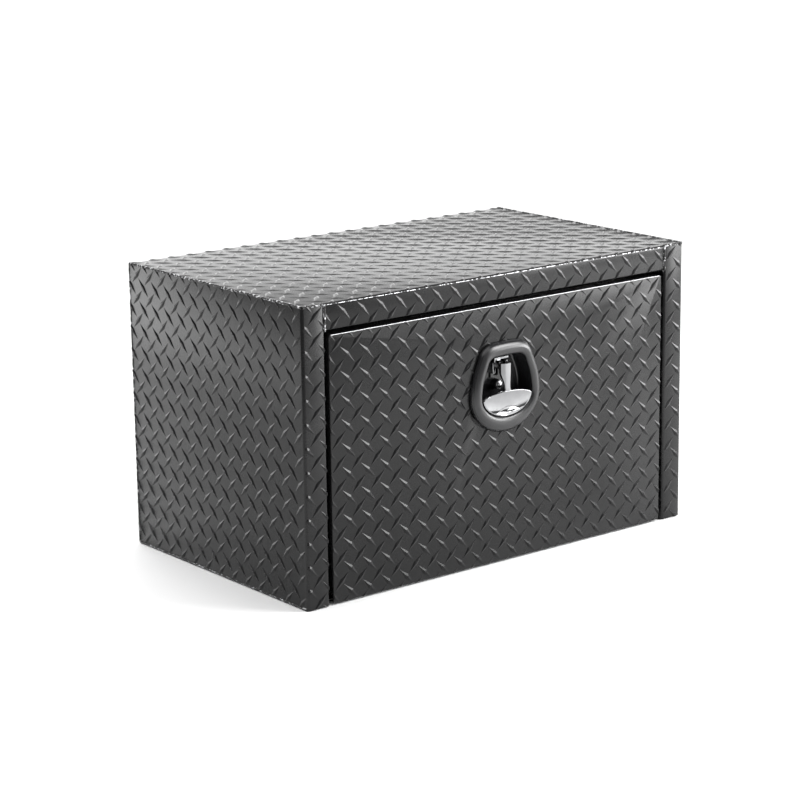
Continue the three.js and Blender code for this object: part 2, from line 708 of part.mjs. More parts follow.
// The bolt: a bevelled tongue above, a spring lug, and a slotted yoke round the drive pin below.
// A leg under one cheek ends in a land that comes to rest on the lock's cam when that is turned
// under it; the notch above the land takes the cam where the bolt is drawn.
function latchBolt() {
  const tongue = new THREE.Shape([
    [boltFront, pivotHeight], [boltRear, pivotHeight], [boltRear, boltTop - boltBevel],
    [boltRear - boltBevelDepth, boltTop], [boltFront, boltTop],
  ].map(([y, z]) => new THREE.Vector2(y, z)));
  const bar = prismX(tongue, -boltHalfWidth, boltHalfWidth);
  const pinFront = pivotDepth + leverLength * Math.cos(THREE.MathUtils.degToRad(handleLiftDegrees));
  const pinRear = pivotDepth + leverLength;
  const room = pivotPinRadius + slideClearance + seat;
  const yokeFront = bowlDepth + bowlWall + slideClearance;
  const cheek = boltHalfWidth - yokeCheek;
  const yoke = block(-boltHalfWidth, boltHalfWidth, yokeFront, boltRear, pivotHeight - yokeHalfHeight, pivotHeight + yokeHalfHeight);
  const leverRoom = block(-cheek, cheek, 0, boltRear + overrun,
    pivotHeight - overrun, pivotHeight + yokeHalfHeight + slideClearance);
  const pinSlot = block(-overrun, overrun, pinFront - room, pinRear + room, pivotHeight - room, pivotHeight + room);
  const lugTop = springSeatTop + springLugHeight;
  const lug = block(-springLugHalf, springLugHalf, springMiddle - springRadius, boltFront + boltThickness / 2, springSeatTop, lugTop);
  const camFront = lockRear + seat;
  const camRear = camFront + lockCamThickness + slideClearance + seat;
  const legLow = lockCamHalf + lockLegClear;
  const legHigh = pivotHeight - yokeHalfHeight;
  const leg = block(-boltHalfWidth, -cheek, camFront, boltRear, legLow, legHigh + yokeCheek);
  const notch = block(-overrun, 0, 0, camRear, legLow + lockLegLand, legHigh - yokeCheek);
  return cut(joined([bar, yoke, lug, cut(leg, [notch])]), [leverRoom, pinSlot]);
}

const springMiddle = doorThickness + seat + guideSheet + springRadius + 2 * springWire + seat;
const springFloor = guideBottom + guideSheet + seat;
const springSeatTop = guideTop - springLugHeight - guideSheet;

// A folded guide on the inner sheet that the bolt slides in, with a shelf for the spring
function boltGuide() {
  const near = boltHalfWidth + slideClearance;
  const far = near + guideSheet;
  const foot = doorThickness + seat;
  const rear = boltRear + slideClearance;
  const gate = boltFront - slideClearance;
  const z0 = guideBottom;
  const z1 = guideTop;
  const halves = [-1, 1].flatMap((way) => {
    const span = (a, b) => [Math.min(way * a, way * b), Math.max(way * a, way * b)];
    return [
      block(...span(near, far), foot, rear + guideSheet, z0, z1),
      block(...span(near, far + guideFoot), foot, foot + guideSheet, z0, z1),
      block(...span(near - guideTabReach, far), gate - guideSheet, gate, z0, z1),
    ];
  });
  const back = block(-far, far, rear, rear + guideSheet, z0, z1);
  const shelf = block(-far, far, foot, gate - guideSheet / 2, z0, z0 + guideSheet);
  return joined([...halves, back, shelf]);
}

// A helical spring with straight cut ends; it prints the least gap between its turns
function boltSpring() {
  const low = springFloor + springWire;
  const high = springSeatTop - seat - springWire;
  const total = springTurns * springSteps;
  const turnGap = (high - low) / springTurns - 2 * springWire;
  console.log(`bolt spring: least gap between turns ${turnGap.toFixed(2)} mm`);
  const positions = [];
  const index = [];
  for (let i = 0; i <= total; i++) {
    const turn = (2 * Math.PI * i) / springSteps;
    const centre = new THREE.Vector3(0, springMiddle, low + ((high - low) * i) / total);
    const out = new THREE.Vector3(Math.cos(turn), Math.sin(turn), 0);
    for (let j = 0; j < wireSides; j++) {
      const round = (2 * Math.PI * j) / wireSides;
      const p = centre.clone().addScaledVector(out, springRadius + springWire * Math.cos(round));
      positions.push(p.x, p.y, p.z + springWire * Math.sin(round));
    }
  }
  for (let i = 0; i < total; i++) {
    for (let j = 0; j < wireSides; j++) {
      const a = i * wireSides + j;
      const b = i * wireSides + ((j + 1) % wireSides);
      index.push(a, a + wireSides, b, b, a + wireSides, b + wireSides);
    }
  }
  const end = total * wireSides;
  for (let j = 1; j < wireSides - 1; j++) {
    index.push(0, j, j + 1, end, end + j + 1, end + j);
  }
  const geometry = new THREE.BufferGeometry();
  geometry.setAttribute("position", new THREE.Float32BufferAttribute(positions, 3));
  geometry.setIndex(index);
  return solidOf(geometry);
}

function latchClamp() {
  const front = doorThickness + seat;
  const ring = prismY(new THREE.Shape(grown(rimLine, -clampInset)), front, front + clampSheet);
  const hole = prismY(new THREE.Shape(grown(openingLine, bowlWall + cutoutClearance)), 0, front + overrun);
  const guideRoom = block(-boltHalfWidth - guideFoot - guideSheet - 1, boltHalfWidth + guideFoot + guideSheet + 1,
    0, front + overrun, guideBottom - 1, guideTop);
  return cut(ring, [hole, guideRoom, ...holesForScrews(screwRadius + screwClear)]);
}

function latchScrew(place) {
  const face = doorThickness + seat + clampSheet;
  const shank = rodY(screwRadius, flangeBack - screwBite, face + screwHead / 2, place.x, place.y, roundSteps / 2);
  return shank.add(headY(screwHeadRadius, screwHead, place.x, face, place.y));
}

function lockBarrel() {
  const tube = rodY(barrelRadius, lockFace, bowlDepth + bowlWall + hubFlange, 0, 0, 2 * roundSteps);
  const nut = rodY(barrelRadius + bowlWall, bowlDepth + bowlWall + seat, bowlDepth + bowlWall + seat + hubFlange, 0, 0, 6);
  return cut(tube.add(nut), [rodY(plugRadius + seat, 0, bowlDepth + overrun, 0, 0, 2 * roundSteps)]);
}

function lockPlug() {
  const plug = rodY(plugRadius, lockFace + seat, lockRear, 0, 0, 2 * roundSteps);
  const slot = block(-keySlotWidth / 2, keySlotWidth / 2, 0, lockFace + keySlotDepth, -keySlotLength / 2, keySlotLength / 2);
  return cut(plug, [slot]);
}

function lockCam() {
  const y0 = lockRear + seat;
  const y1 = y0 + lockCamThickness;
  const arm = block(-lockCamHalf, lockCamHalf, y0, y1, -lockCamReach, 0);
  return arm.add(rodY(lockCamHalf, y0, y1, 0, 0)).add(rodY(lockCamHalf, y0, y1, 0, -lockCamReach));
}

function camScrew() {
  return headY(camScrewRadius, camScrewHeight, 0, lockRear + seat + lockCamThickness + seat, 0);
}

// Strike behind the header's lip

function strike() {
  const low = lipBottom;
  return block(-strikeHalfWidth, strikeHalfWidth, jambDepth + plate, strikeRear, low, low + stopLip);
}

function strikeScrew(way) {
  return headY(strikeScrewRadius, strikeScrewHead, way * strikeScrewSpread, strikeRear, lipBottom + stopLip * 0.6);
}

// Stays. Both pivots lie on one circle round the hinge pin, so a stay turns half as far as the door
// and its slot slides straight along the case stud.

const doorPivotAngle = Math.acos((stayDoorDepth - hingeOffset) / stayRadius);
const caseStudAngle = Math.acos((stayCaseDepth - hingeOffset) / stayRadius);
const onStayCircle = (angle) =>
  [hingeOffset + stayRadius * Math.cos(angle), hingeOffset + stayRadius * Math.sin(angle)];
const doorSwing = THREE.MathUtils.degToRad(doorSwingDegrees);
const chord = (angle) => 2 * stayRadius * Math.sin((angle + doorPivotAngle - caseStudAngle) / 2);
const slotStart = chord(0);
const slotEnd = chord(doorSwing);
const [pivotY, pivotZ] = onStayCircle(doorPivotAngle);
const [studY, studZ] = onStayCircle(caseStudAngle);
const staySlope = Math.atan2(studZ - pivotZ, studY - pivotY);
const stayOuter = openingEdge - stayPlaneInset;
const stayInner = stayOuter - stayThickness;

function slottedBar(length, half) {
  const shape = new THREE.Shape();
  shape.absarc(0, 0, half, Math.PI / 2, Math.PI * 1.5, false);
  shape.lineTo(length, -half);
  shape.absarc(length, 0, half, -Math.PI / 2, Math.PI / 2, false);
  return shape;
}

// A stay lies along +Y from its door pivot and is turned to its place by its group
function stayArm() {
  const end = slotEnd + stayPinRadius + stayEndWall - stayHalfWidth;
  const shape = slottedBar(end, stayHalfWidth);
  const slotHalf = stayPinRadius + seat;
  const slot = new THREE.Path();
  slot.absarc(slotStart - slideClearance, 0, slotHalf, Math.PI / 2, Math.PI * 1.5, false);
  slot.lineTo(slotEnd + slideClearance, -slotHalf);
  slot.absarc(slotEnd + slideClearance, 0, slotHalf, -Math.PI / 2, Math.PI / 2, false);
  shape.holes.push(slot);
  const hole = rodX(stayPinRadius + seat, stayInner - overrun, stayOuter + overrun, 0, 0);
  return cut(prismX(shape, stayInner, stayOuter), [hole]);
}

// A tab on the inner sheet that carries a stay's door pivot
function stayTab() {
  const x1 = stayInner - slideClearance;
  const x0 = x1 - tabThickness;
  const back = doorThickness + seat;
  const ear = rodX(stayHalfWidth, x0, x1, pivotY, pivotZ, roundSteps)
    .add(block(x0, x1, back, pivotY, pivotZ - stayHalfWidth, pivotZ + stayHalfWidth));
  const foot = block(x0 - tabFoot, x1, back, back + tabThickness, pivotZ - stayHalfWidth, pivotZ + stayHalfWidth);
  const heads = [-1, 1].map((way) => headY(rivetRadius, rivetHeight, x0 - tabFoot / 2,
    back + tabThickness - seat / 3, pivotZ + (way * stayHalfWidth) / 2));
  return cut(joined([ear, foot, ...heads]), [rodX(stayPinRadius + seat, 0, halfWidth, pivotY, pivotZ)]);
}

function stayRivet() {
  const inner = stayInner - slideClearance - tabThickness - seat;
  const outer = stayOuter + slideClearance;
  return joined([
    rodX(stayPinRadius, inner - studHead, outer + studHead, pivotY, pivotZ),
    rodX(studHeadRadius, outer, outer + studHead, pivotY, pivotZ),
    rodX(studHeadRadius, inner - studHead, inner, pivotY, pivotZ),
  ]);
}

// A bracket behind a post's lip that carries the stud in the stay's slot
const earOuterX = openingEdge;
const earInnerX = openingEdge - tabThickness;

function stayBracket() {
  const lipBack = jambDepth + plate + seat;
  const half = bracketHeight / 2;
  const ear = rodX(bracketReach, earInnerX, earOuterX, studY, studZ)
    .add(block(earInnerX, earOuterX, lipBack, studY, studZ - half / 2, studZ + half / 2));
  const foot = block(earInnerX, openingEdge + stopLip - plate, lipBack, lipBack + tabThickness,
    studZ - half, studZ + half);
  const heads = [-1, 1].map((way) => headY(rivetRadius, rivetHeight, openingEdge + stopLip / 2,
    lipBack + tabThickness - seat / 3, studZ + (way * bracketHeight) / 3));
  return cut(joined([ear, foot, ...heads]), [rodX(stayPinRadius + seat, 0, halfWidth, studY, studZ)]);
}

function stayStud() {
  const inner = stayInner - slideClearance;
  const outer = earOuterX + seat;
  return joined([
    rodX(stayPinRadius, inner - studHead, outer + studHead, studY, studZ),
    rodX(studHeadRadius, inner - studHead, inner, studY, studZ),
    rodX(studHeadRadius, stayOuter + slideClearance, earInnerX - seat, studY, studZ),
    rodX(studHeadRadius, outer, outer + studHead, studY, studZ),
  ]);
}

// Assembly

const toolBox = new THREE.Group();
const front = new THREE.Group();
front.position.y = -caseDepth / 2;
toolBox.add(front);

const mirrored = (solid) => solid.mirror([1, 0, 0]);
const sides = [["left", mirrored], ["right", (solid) => solid]];

addPiece(front, "case_wrap", caseWrap(), tread);
addPiece(front, "side_sheet_left", sideSheet(), tread);
addPiece(front, "side_sheet_right", mirrored(sideSheet()), tread);
addPiece(front, "sill_angle", sillAngle(), smooth);
addPiece(front, "strike_plate", strike(), steel);
addPiece(front, "hinge_leaf_case", hingeLeafCase(), steel);
addPiece(front, "hinge_pin", hingePin(), steel);
sides.forEach(([side], i) => {
  const way = 2 * i - 1;
  addPiece(front, `strike_screw_${side}`, strikeScrew(way), steel);
  addPiece(front, `seam_bead_${side}`, seamBead(), tread).position.x = way * (halfWidth - frameFace);
});

const door = new THREE.Group();
front.add(door);
const throughHoles = () => [latchCutout(), ...holesForScrews(screwRadius + screwClear)].map((hole) =>
  hole.translate([0, 0, latchHeight]));
addPiece(door, "door_skin", cut(doorSkin(), throughHoles()), tread);
addPiece(door, "door_inner_pan", cut(innerPan(), throughHoles()), smooth);
addPiece(door, "hinge_leaf_door", hingeLeafDoor(), steel);
addPiece(door, "door_seal", doorSeal(), rubber);
addPiece(door, "door_stiffener_left", stiffener(-stiffenerOffset), smooth);
addPiece(door, "door_stiffener_right", stiffener(stiffenerOffset), smooth);

const latch = new THREE.Group();
latch.position.z = latchHeight;
door.add(latch);
addPiece(latch, "latch_bowl", latchBowl(), moulded);
addPiece(latch, "latch_gasket", latchGasket(), rubber);
addPiece(latch, "latch_clamp", latchClamp(), steel);
screwPlaces.forEach((place, i) => addPiece(latch, `latch_screw_${i + 1}`, latchScrew(place), steel));
addPiece(latch, "pivot_hub", pivotHub(), chrome);
addPiece(latch, "pivot_pin", pivotPin(), steel);
addPiece(latch, "lift_handle", handlePlate(), chrome);
addPiece(latch, "handle_lever", handleLever(), steel);
addPiece(latch, "drive_pin", drivePin(), steel);
addPiece(latch, "latch_bolt", latchBolt(), steel);
addPiece(latch, "bolt_guide", boltGuide(), steel);
addPiece(latch, "bolt_spring", boltSpring(), steel);
addPiece(latch, "lock_barrel", lockBarrel(), chrome);
addPiece(latch, "lock_plug", lockPlug(), chrome);
addPiece(latch, "lock_cam", lockCam(), steel);
addPiece(latch, "lock_cam_screw", camScrew(), steel);

sides.forEach(([side, placed]) => {
  const pivot = new THREE.Group();
  pivot.position.set(0, pivotY, pivotZ);
  pivot.rotation.x = staySlope;
  door.add(pivot);
  addPiece(pivot, `stay_arm_${side}`, placed(stayArm()), steel);
  addPiece(door, `stay_tab_${side}`, placed(stayTab()), steel);
  addPiece(door, `stay_rivet_${side}`, placed(stayRivet()), steel);
  addPiece(front, `stay_bracket_${side}`, placed(stayBracket()), steel);
  addPiece(front, `stay_stud_${side}`, placed(stayStud()), steel);
});

export default toolBox;
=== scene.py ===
"""Looks of the underbody tool box: a case and drop-down door in black powder coated tread plate,
with a bowl latch, a chrome lift handle and zinc plated hardware. Metres, in the frame of the CAD."""

import json
from math import cos, pi, radians, sin

import bmesh
import bpy
from mathutils import Matrix, Vector

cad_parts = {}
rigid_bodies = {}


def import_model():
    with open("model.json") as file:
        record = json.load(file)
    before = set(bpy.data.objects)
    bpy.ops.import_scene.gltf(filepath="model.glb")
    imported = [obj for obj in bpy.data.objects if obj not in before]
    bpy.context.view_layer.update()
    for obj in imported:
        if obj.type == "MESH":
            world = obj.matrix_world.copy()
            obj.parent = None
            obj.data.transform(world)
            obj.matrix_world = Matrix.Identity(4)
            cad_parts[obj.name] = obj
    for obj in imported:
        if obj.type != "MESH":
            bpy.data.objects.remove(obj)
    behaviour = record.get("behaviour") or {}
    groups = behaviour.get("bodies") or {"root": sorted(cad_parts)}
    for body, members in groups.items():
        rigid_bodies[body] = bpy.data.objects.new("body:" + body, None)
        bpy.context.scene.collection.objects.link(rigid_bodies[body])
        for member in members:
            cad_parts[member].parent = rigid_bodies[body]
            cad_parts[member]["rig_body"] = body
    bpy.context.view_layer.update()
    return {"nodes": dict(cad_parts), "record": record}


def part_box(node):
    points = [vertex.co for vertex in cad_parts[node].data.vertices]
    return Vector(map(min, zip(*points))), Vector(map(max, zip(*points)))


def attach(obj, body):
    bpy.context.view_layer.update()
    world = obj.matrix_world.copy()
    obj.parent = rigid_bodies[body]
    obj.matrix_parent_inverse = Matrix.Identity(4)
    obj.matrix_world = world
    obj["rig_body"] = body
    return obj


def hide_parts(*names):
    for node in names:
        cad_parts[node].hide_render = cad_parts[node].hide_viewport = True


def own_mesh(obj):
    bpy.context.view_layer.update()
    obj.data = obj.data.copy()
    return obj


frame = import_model()
mm = 0.001

# Sizes of the sheet work, measured from the middle of the floor's underside
half_width = 381 * mm
front = -228.6 * mm
back = 228.6 * mm
top = 457.2 * mm
post_edge = 340 * mm
header_edge = 416.2 * mm
plate = 3 * mm
bend_radius = 4.5 * mm
weld_gap = 0.3 * mm
return_depth = 26 * mm
floor_front = 18.8 * mm
door_half = 333.5 * mm
door_low = 1.5 * mm
door_top = 409.7 * mm
door_inset = 1 * mm

# Tread bars: a slim diamond, pressed in two crossed sets
bar_length = 38.5 * mm
bar_width = 8.6 * mm
bar_height = 1.35 * mm
bar_skirt = 0.8 * mm
bar_rings = [(1, 0), (0.28, 0.93), (0.2, 0.99), (0.12, 1)]
pitch_across = 35.2 * mm
pitch_along = 36.2 * mm
bend_reach = 14 * mm
bar_slices = 8
straight_enough = 0.9999
nowhere = [(1, 1), (2, 1), (2, 2)]

# Latch, about its middle on the door's face
latch_height = 281 * mm
rim_half, rim_widest, rim_bottom = 69 * mm, -12 * mm, -71.5 * mm
rim_half_top, rim_top, rim_corner = 48 * mm, 71.5 * mm, 24 * mm
bowl_half, bowl_widest, bowl_bottom = 51 * mm, -13 * mm, -47 * mm
bowl_half_top, bowl_top, bowl_corner = 36.5 * mm, 50.5 * mm, 12 * mm
crown = 3 * mm


# Node trees


class Value:
    """A socket of a node tree. Arithmetic on it adds Math nodes to the tree."""

    def __init__(self, graph, socket):
        self.graph, self.socket = graph, socket

    def math(self, operation, first, second):
        return self.graph.node("ShaderNodeMath", {"operation": operation}, {0: first, 1: second})

    def also(self, name):
        """Another output of the same node."""
        return Value(self.graph, self.graph.find(self.socket.node.outputs, name))

    def __add__(self, other):
        return self.math("ADD", self, other)

    def __radd__(self, other):
        return self.math("ADD", other, self)

    def __sub__(self, other):
        return self.math("SUBTRACT", self, other)

    def __mul__(self, other):
        return self.math("MULTIPLY", self, other)

    def __truediv__(self, other):
        return self.math("DIVIDE", self, other)

    def __pow__(self, other):
        return self.math("POWER", self, other)


class Graph:
    """A node tree that is written node by node."""

    def __init__(self, tree):
        self.tree = tree

    def find(self, sockets, key):
        live = [socket for socket in sockets if socket.enabled]
        return live[key] if isinstance(key, int) else next(s for s in live if s.name == key)

    def feed(self, socket, value):
        if isinstance(value, Value):
            self.tree.links.new(value.socket, socket)
        elif isinstance(value, (list, tuple)) and value and isinstance(value[0], Value):
            for one in value:
                self.tree.links.new(one.socket, socket)
        else:
            socket.default_value = value

    def node(self, kind, settings=None, values=None, output=0):
        """One node: its settings are set first, then its sockets; gives one of its outputs."""
        made = self.tree.nodes.new(kind)
        for name, setting in (settings or {}).items():
            setattr(made, name, setting)
        for key, value in (values or {}).items():
            self.feed(self.find(made.inputs, key), value)
        return Value(self, self.find(made.outputs, output)) if made.outputs else made

    def vector(self, operation, first, second, output=0):
        return self.node("ShaderNodeVectorMath", {"operation": operation}, {0: first, 1: second}, output)

    def scaled(self, vector, factor):
        return self.node("ShaderNodeVectorMath", {"operation": "SCALE"}, {"Vector": vector, "Scale": factor})

    def blend(self, factor, first, second):
        """A colour between two colours."""
        return self.node("ShaderNodeMix", {"data_type": "RGBA"},
                         {"Factor": factor, "A": first, "B": second}, "Result")


# Finishes


class Finish(Graph):
    """A material with one Principled shader."""

    def __init__(self, name, **constants):
        self.material = bpy.data.materials.new(name)
        self.material.use_nodes = True
        super().__init__(self.material.node_tree)
        self.tree.nodes.clear()
        surface = self.node("ShaderNodeBsdfPrincipled")
        self.shader = surface.socket.node
        self.node("ShaderNodeOutputMaterial", None, {"Surface": surface})
        self.place = self.node("ShaderNodeTexCoord", None, None, "Object")
        for key, constant in constants.items():
            self.set(key.replace("_", " ").title().replace("Ior", "IOR"), constant)

    def set(self, key, value):
        self.feed(self.shader.inputs[key], value)

    def noise(self, size, detail=2.0, roughness=0.5, stretch=None):
        """Noise from 0 to 1 with features of about this size, longer along stretch."""
        place = self.place
        if stretch:
            place = self.vector("MULTIPLY", place, stretch)
        return self.node("ShaderNodeTexNoise", None, {
            "Vector": place, "Scale": 1 / size, "Detail": detail, "Roughness": roughness})

    def bump(self, height, depth, strength=1.0, over=None):
        values = {"Height": height, "Distance": depth, "Strength": strength}
        if over:
            values["Normal"] = over
        return self.node("ShaderNodeBump", None, values)


coat_ior = 1.36


def powder_coat(name, tone, gloss, peel, ior=coat_ior):
    """Black powder coat: a fine orange peel over faint waves of the sheet."""
    finish = Finish(name, ior=ior)
    peel_field = finish.noise(1.6 * mm, 2, 0.45)
    drift = finish.noise(60 * mm, 3)
    fine = finish.noise(0.5 * mm, 1)
    dark, pale = [(level, level, level * 1.03, 1) for level in (tone * 0.8, tone * 1.25)]
    finish.set("Base Color", finish.blend(drift, dark, pale))
    finish.set("Roughness", gloss + drift * 0.08 + peel_field * 0.05)
    waves = finish.bump(finish.noise(45 * mm, 1), 0.35 * mm, 0.5)
    peeled = finish.bump(peel_field, peel, 0.9, waves)
    finish.set("Normal", finish.bump(fine, peel / 6, 0.6, peeled))
    return finish.material


def coat_with_painted_glints(name, glint_from, patch):
    """Black coat with patches of bright metal painted in as glints and highlights, along an edge or a weld."""
    finish = Finish(name, ior=coat_ior)
    glint_patches = finish.noise(patch, 2, 0.6)
    # Painted glints: a noise mask of bright metal patches that stand in for highlights
    glint_mask = finish.node("ShaderNodeMapRange", {"interpolation_type": "SMOOTHSTEP"}, {
        "Value": glint_patches, "From Min": glint_from - 0.03, "From Max": glint_from + 0.03})
    finish.set("Base Color", finish.blend(glint_mask, (0.01, 0.01, 0.01, 1), (0.45, 0.45, 0.46, 1)))
    finish.set("Metallic", glint_mask)
    finish.set("Roughness", 0.16 + glint_mask * 0.14)
    finish.set("Normal", finish.bump(finish.noise(1.2 * mm, 2), 0.12 * mm, 0.8))
    return finish.material


def plated_steel(name, tone, gloss):
    """Plated steel: a soft grey metal with cloudy patches and fine rolling lines."""
    finish = Finish(name, metallic=1.0)
    cloud = finish.noise(9 * mm, 3)
    lines = finish.noise(0.4 * mm, 2, 0.5, (0.06, 1, 1))
    low, high = [tuple(part * level for part in tone) + (1,) for level in (0.72, 1.0)]
    finish.set("Base Color", finish.blend(cloud, low, high))
    finish.set("Roughness", gloss + cloud * 0.12 + lines * 0.06)
    finish.set("Normal", finish.bump(lines, 0.02 * mm, 0.5, finish.bump(cloud, 0.05 * mm, 0.4)))
    return finish.material


def chrome_plate():
    """Bright chrome with a faint film of handling marks and a slightly uneven casting below."""
    finish = Finish("chrome_plate", metallic=1.0)
    film = finish.noise(14 * mm, 4, 0.6)
    finish.set("Base Color", finish.blend(film, (0.22, 0.222, 0.226, 1), (0.3, 0.302, 0.306, 1)))
    finish.set("Roughness", 0.035 + film * 0.05)
    finish.set("Normal", finish.bump(finish.noise(12 * mm, 1), 0.12 * mm, 0.4))
    return finish.material


def moulded_black():
    """Glossy black moulding with a slight sink and a fine film."""
    finish = Finish("moulded_black")
    film = finish.noise(18 * mm, 3)
    finish.set("Base Color", finish.blend(film, (0.008, 0.008, 0.009, 1), (0.014, 0.014, 0.015, 1)))
    finish.set("Roughness", 0.2 + film * 0.08)
    finish.set("Normal", finish.bump(finish.noise(10 * mm, 1), 0.1 * mm, 0.5))
    return finish.material


def satin_rim():
    """The rim's satin black with a fine even grain."""
    finish = Finish("satin_rim", ior=1.55)
    grain = finish.noise(0.6 * mm, 2)
    film = finish.noise(16 * mm, 3)
    finish.set("Base Color", finish.blend(film, (0.012, 0.012, 0.013, 1), (0.02, 0.02, 0.021, 1)))
    finish.set("Roughness", 0.25 + grain * 0.05 + film * 0.05)
    finish.set("Normal", finish.bump(grain, 0.03 * mm, 0.6))
    return finish.material


def sponge_rubber():
    """Matt black sealing rubber with a skin of fine pores."""
    finish = Finish("sponge_rubber")
    pores = finish.noise(1.1 * mm, 3)
    finish.set("Base Color", finish.blend(pores, (0.012, 0.012, 0.012, 1), (0.03, 0.03, 0.03, 1)))
    finish.set("Roughness", 0.75 + pores * 0.15)
    finish.set("Normal", finish.bump(pores, 0.15 * mm, 0.7))
    return finish.material


tread_black = powder_coat("black_powder_coat", 0.008, 0.2, 0.045 * mm)
bar_black = powder_coat("thin_coat_on_bars", 0.008, 0.13, 0.02 * mm, ior=1.32)
sheet_black = powder_coat("smooth_black_coat", 0.01, 0.28, 0.04 * mm)
# The weld beads get painted glints, and the two edge lines get a painted highlight line and painted broken
# glints: bright metal patches in the black coat
bead_with_painted_glints = coat_with_painted_glints("coated_weld", 0.58, 4 * mm)
rubbed_edge = coat_with_painted_glints("rubbed_edge", 0.3, 20 * mm)
broken_edge = coat_with_painted_glints("broken_edge", 0.5, 5 * mm)
zinc = plated_steel("zinc_plate", (0.36, 0.365, 0.375), 0.3)
pin_steel = plated_steel("turned_steel", (0.4, 0.4, 0.405), 0.24)
shutter_nickel = plated_steel("polished_nickel", (0.95, 0.95, 0.96), 0.1)
chrome = chrome_plate()
bowl_black = moulded_black()
rim_black = satin_rim()
rubber = sponge_rubber()


# Meshes


def piece(name, mesh, body=None, finish=None, slot=None, stands_for=()):
    """A named object for a finished mesh, which rides on a body of the frame."""
    made = bpy.data.objects.new(name, mesh)
    bpy.context.scene.collection.objects.link(made)
    if finish:
        mesh.materials.clear()
        mesh.materials.append(finish)
    if body:
        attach(made, body)
    if stands_for:
        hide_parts(*stands_for)
    return made


def mesh_of(bm, name):
    mesh = bpy.data.meshes.new(name)
    bm.to_mesh(mesh)
    bm.free()
    return mesh


def applied(carrier):
    """The plain mesh that an object's modifiers make; the object itself is removed."""
    graph = bpy.context.evaluated_depsgraph_get()
    mesh = bpy.data.meshes.new_from_object(carrier.evaluated_get(graph))
    bpy.data.objects.remove(carrier)
    return mesh


def shade(mesh, crease=35):
    """Smooth shading, with an edge wherever faces turn by more than the crease."""
    mesh.shade_smooth()
    mesh.set_sharp_from_angle(angle=radians(crease))
    return mesh


def bevelled(name, mesh, width, segments, turn):
    """The mesh with its edges rounded wherever its faces turn by more than this angle."""
    carrier = piece(name + "_raw", mesh)
    bevel = carrier.modifiers.new("soft_edge", "BEVEL")
    bevel.width, bevel.segments = width, segments
    bevel.limit_method, bevel.angle_limit = "ANGLE", radians(turn)
    return applied(carrier)


def box_mesh(low, high):
    low, high = Vector(low), Vector(high)
    bm = bmesh.new()
    bmesh.ops.create_cube(bm, size=1)
    place = Matrix.Translation((high + low) / 2) @ Matrix.Diagonal((*(high - low), 1))
    bmesh.ops.transform(bm, matrix=place, verts=bm.verts)
    return mesh_of(bm, "box")


def rod_mesh(radius, low, high, sides=48):
    """A round bar between two points."""
    low, high = Vector(low), Vector(high)
    length = (high - low).length
    turn = (high - low).to_track_quat("Z", "Y").to_matrix().to_4x4()
    bm = bmesh.new()
    bmesh.ops.create_cone(bm, cap_ends=True, segments=sides, radius1=radius, radius2=radius, depth=length)
    bmesh.ops.transform(bm, matrix=Matrix.Translation((low + high) / 2) @ turn, verts=bm.verts)
    return mesh_of(bm, "rod")


def line_mesh(name, lines):
    """A mesh of open lines for a rule to follow."""
    bm = bmesh.new()
    for line in lines:
        verts = [bm.verts.new(point) for point in line]
        for a, b in zip(verts, verts[1:]):
            bm.edges.new((a, b))
    return mesh_of(bm, name)


def softened(node, finish, slot, edge):
    """A copy of a CAD node with softened edges and smooth bends, in that node's place.
    The few plain bars of its sheet are pressed flat, because finer ones stand over them."""
    name = node + "_finished"
    bm = bmesh.new()
    bm.from_mesh(frame["nodes"][node].data)
    if slot == "tread_plate":
        for vert in bm.verts:
            vert.co.y, vert.co.z = max(vert.co.y, front), min(vert.co.z, top)
    bmesh.ops.remove_doubles(bm, verts=bm.verts, dist=0.001 * mm)
    bmesh.ops.dissolve_limit(bm, angle_limit=radians(1), verts=bm.verts, edges=bm.edges)
    mesh = shade(bevelled(name, mesh_of(bm, name), edge, 2, 40))
    mesh.name = name
    return piece(name, mesh, body_of[node], finish, slot, [node])


body_of = {node: made["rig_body"] for node, made in frame["nodes"].items()}


# Latch outlines, as closed rings of (x, z) about the latch's middle


def quadratic(start, pull, end, steps):
    """Points on a curve from start towards end, which it leaves out."""
    shares = [i / steps for i in range(steps)]
    return [(1 - t) ** 2 * start + 2 * t * (1 - t) * pull + t ** 2 * end for t in shares]


def latch_outline(half, widest, low, half_top, high, corner, count=128):
    """A rounded bowl below, sides that lean in, and a slightly crowned top; evenly spaced points."""
    shoulder = high - crown
    slope = Vector((half_top - half, shoulder - widest)).normalized()
    side_end = Vector((half_top, shoulder)) - slope * corner
    corner_end = Vector((half_top - corner, high - crown / 4))
    crown_pull, crown_top = Vector(((half_top - corner) / 2, high)), Vector((0, high))
    arc_steps, side_steps, corner_steps, crown_steps = 40, 24, 16, 12
    right = [Vector((half * sin(turn), widest - (widest - low) * cos(turn)))
             for turn in (i / arc_steps * pi / 2 for i in range(arc_steps))]
    right += quadratic(Vector((half, widest)), Vector((half, (widest + side_end.y) / 2)), side_end, side_steps)
    right += quadratic(side_end, Vector((half_top, shoulder)), corner_end, corner_steps)
    right += quadratic(corner_end, crown_pull, crown_top, crown_steps)
    line = right + [crown_top]
    lengths = [0]
    for a, b in zip(line, line[1:]):
        lengths.append(lengths[-1] + (b - a).length)
    even = []
    for i in range(count // 2 + 1):
        want = lengths[-1] * i / (count // 2)
        at = next(k for k in range(1, len(line)) if lengths[k] >= want - 1e-12)
        share = (want - lengths[at - 1]) / (lengths[at] - lengths[at - 1])
        even.append(line[at - 1].lerp(line[at], share))
    return even + [Vector((-p.x, p.y)) for p in reversed(even[1:-1])]


def grown(line, distance):
    """The same outline moved outwards, or inwards where the distance is negative."""
    moved = []
    for i, point in enumerate(line):
        along = (line[(i + 1) % len(line)] - line[i - 1]).normalized()
        moved.append(point + Vector((along.y, -along.x)) * distance)
    return moved


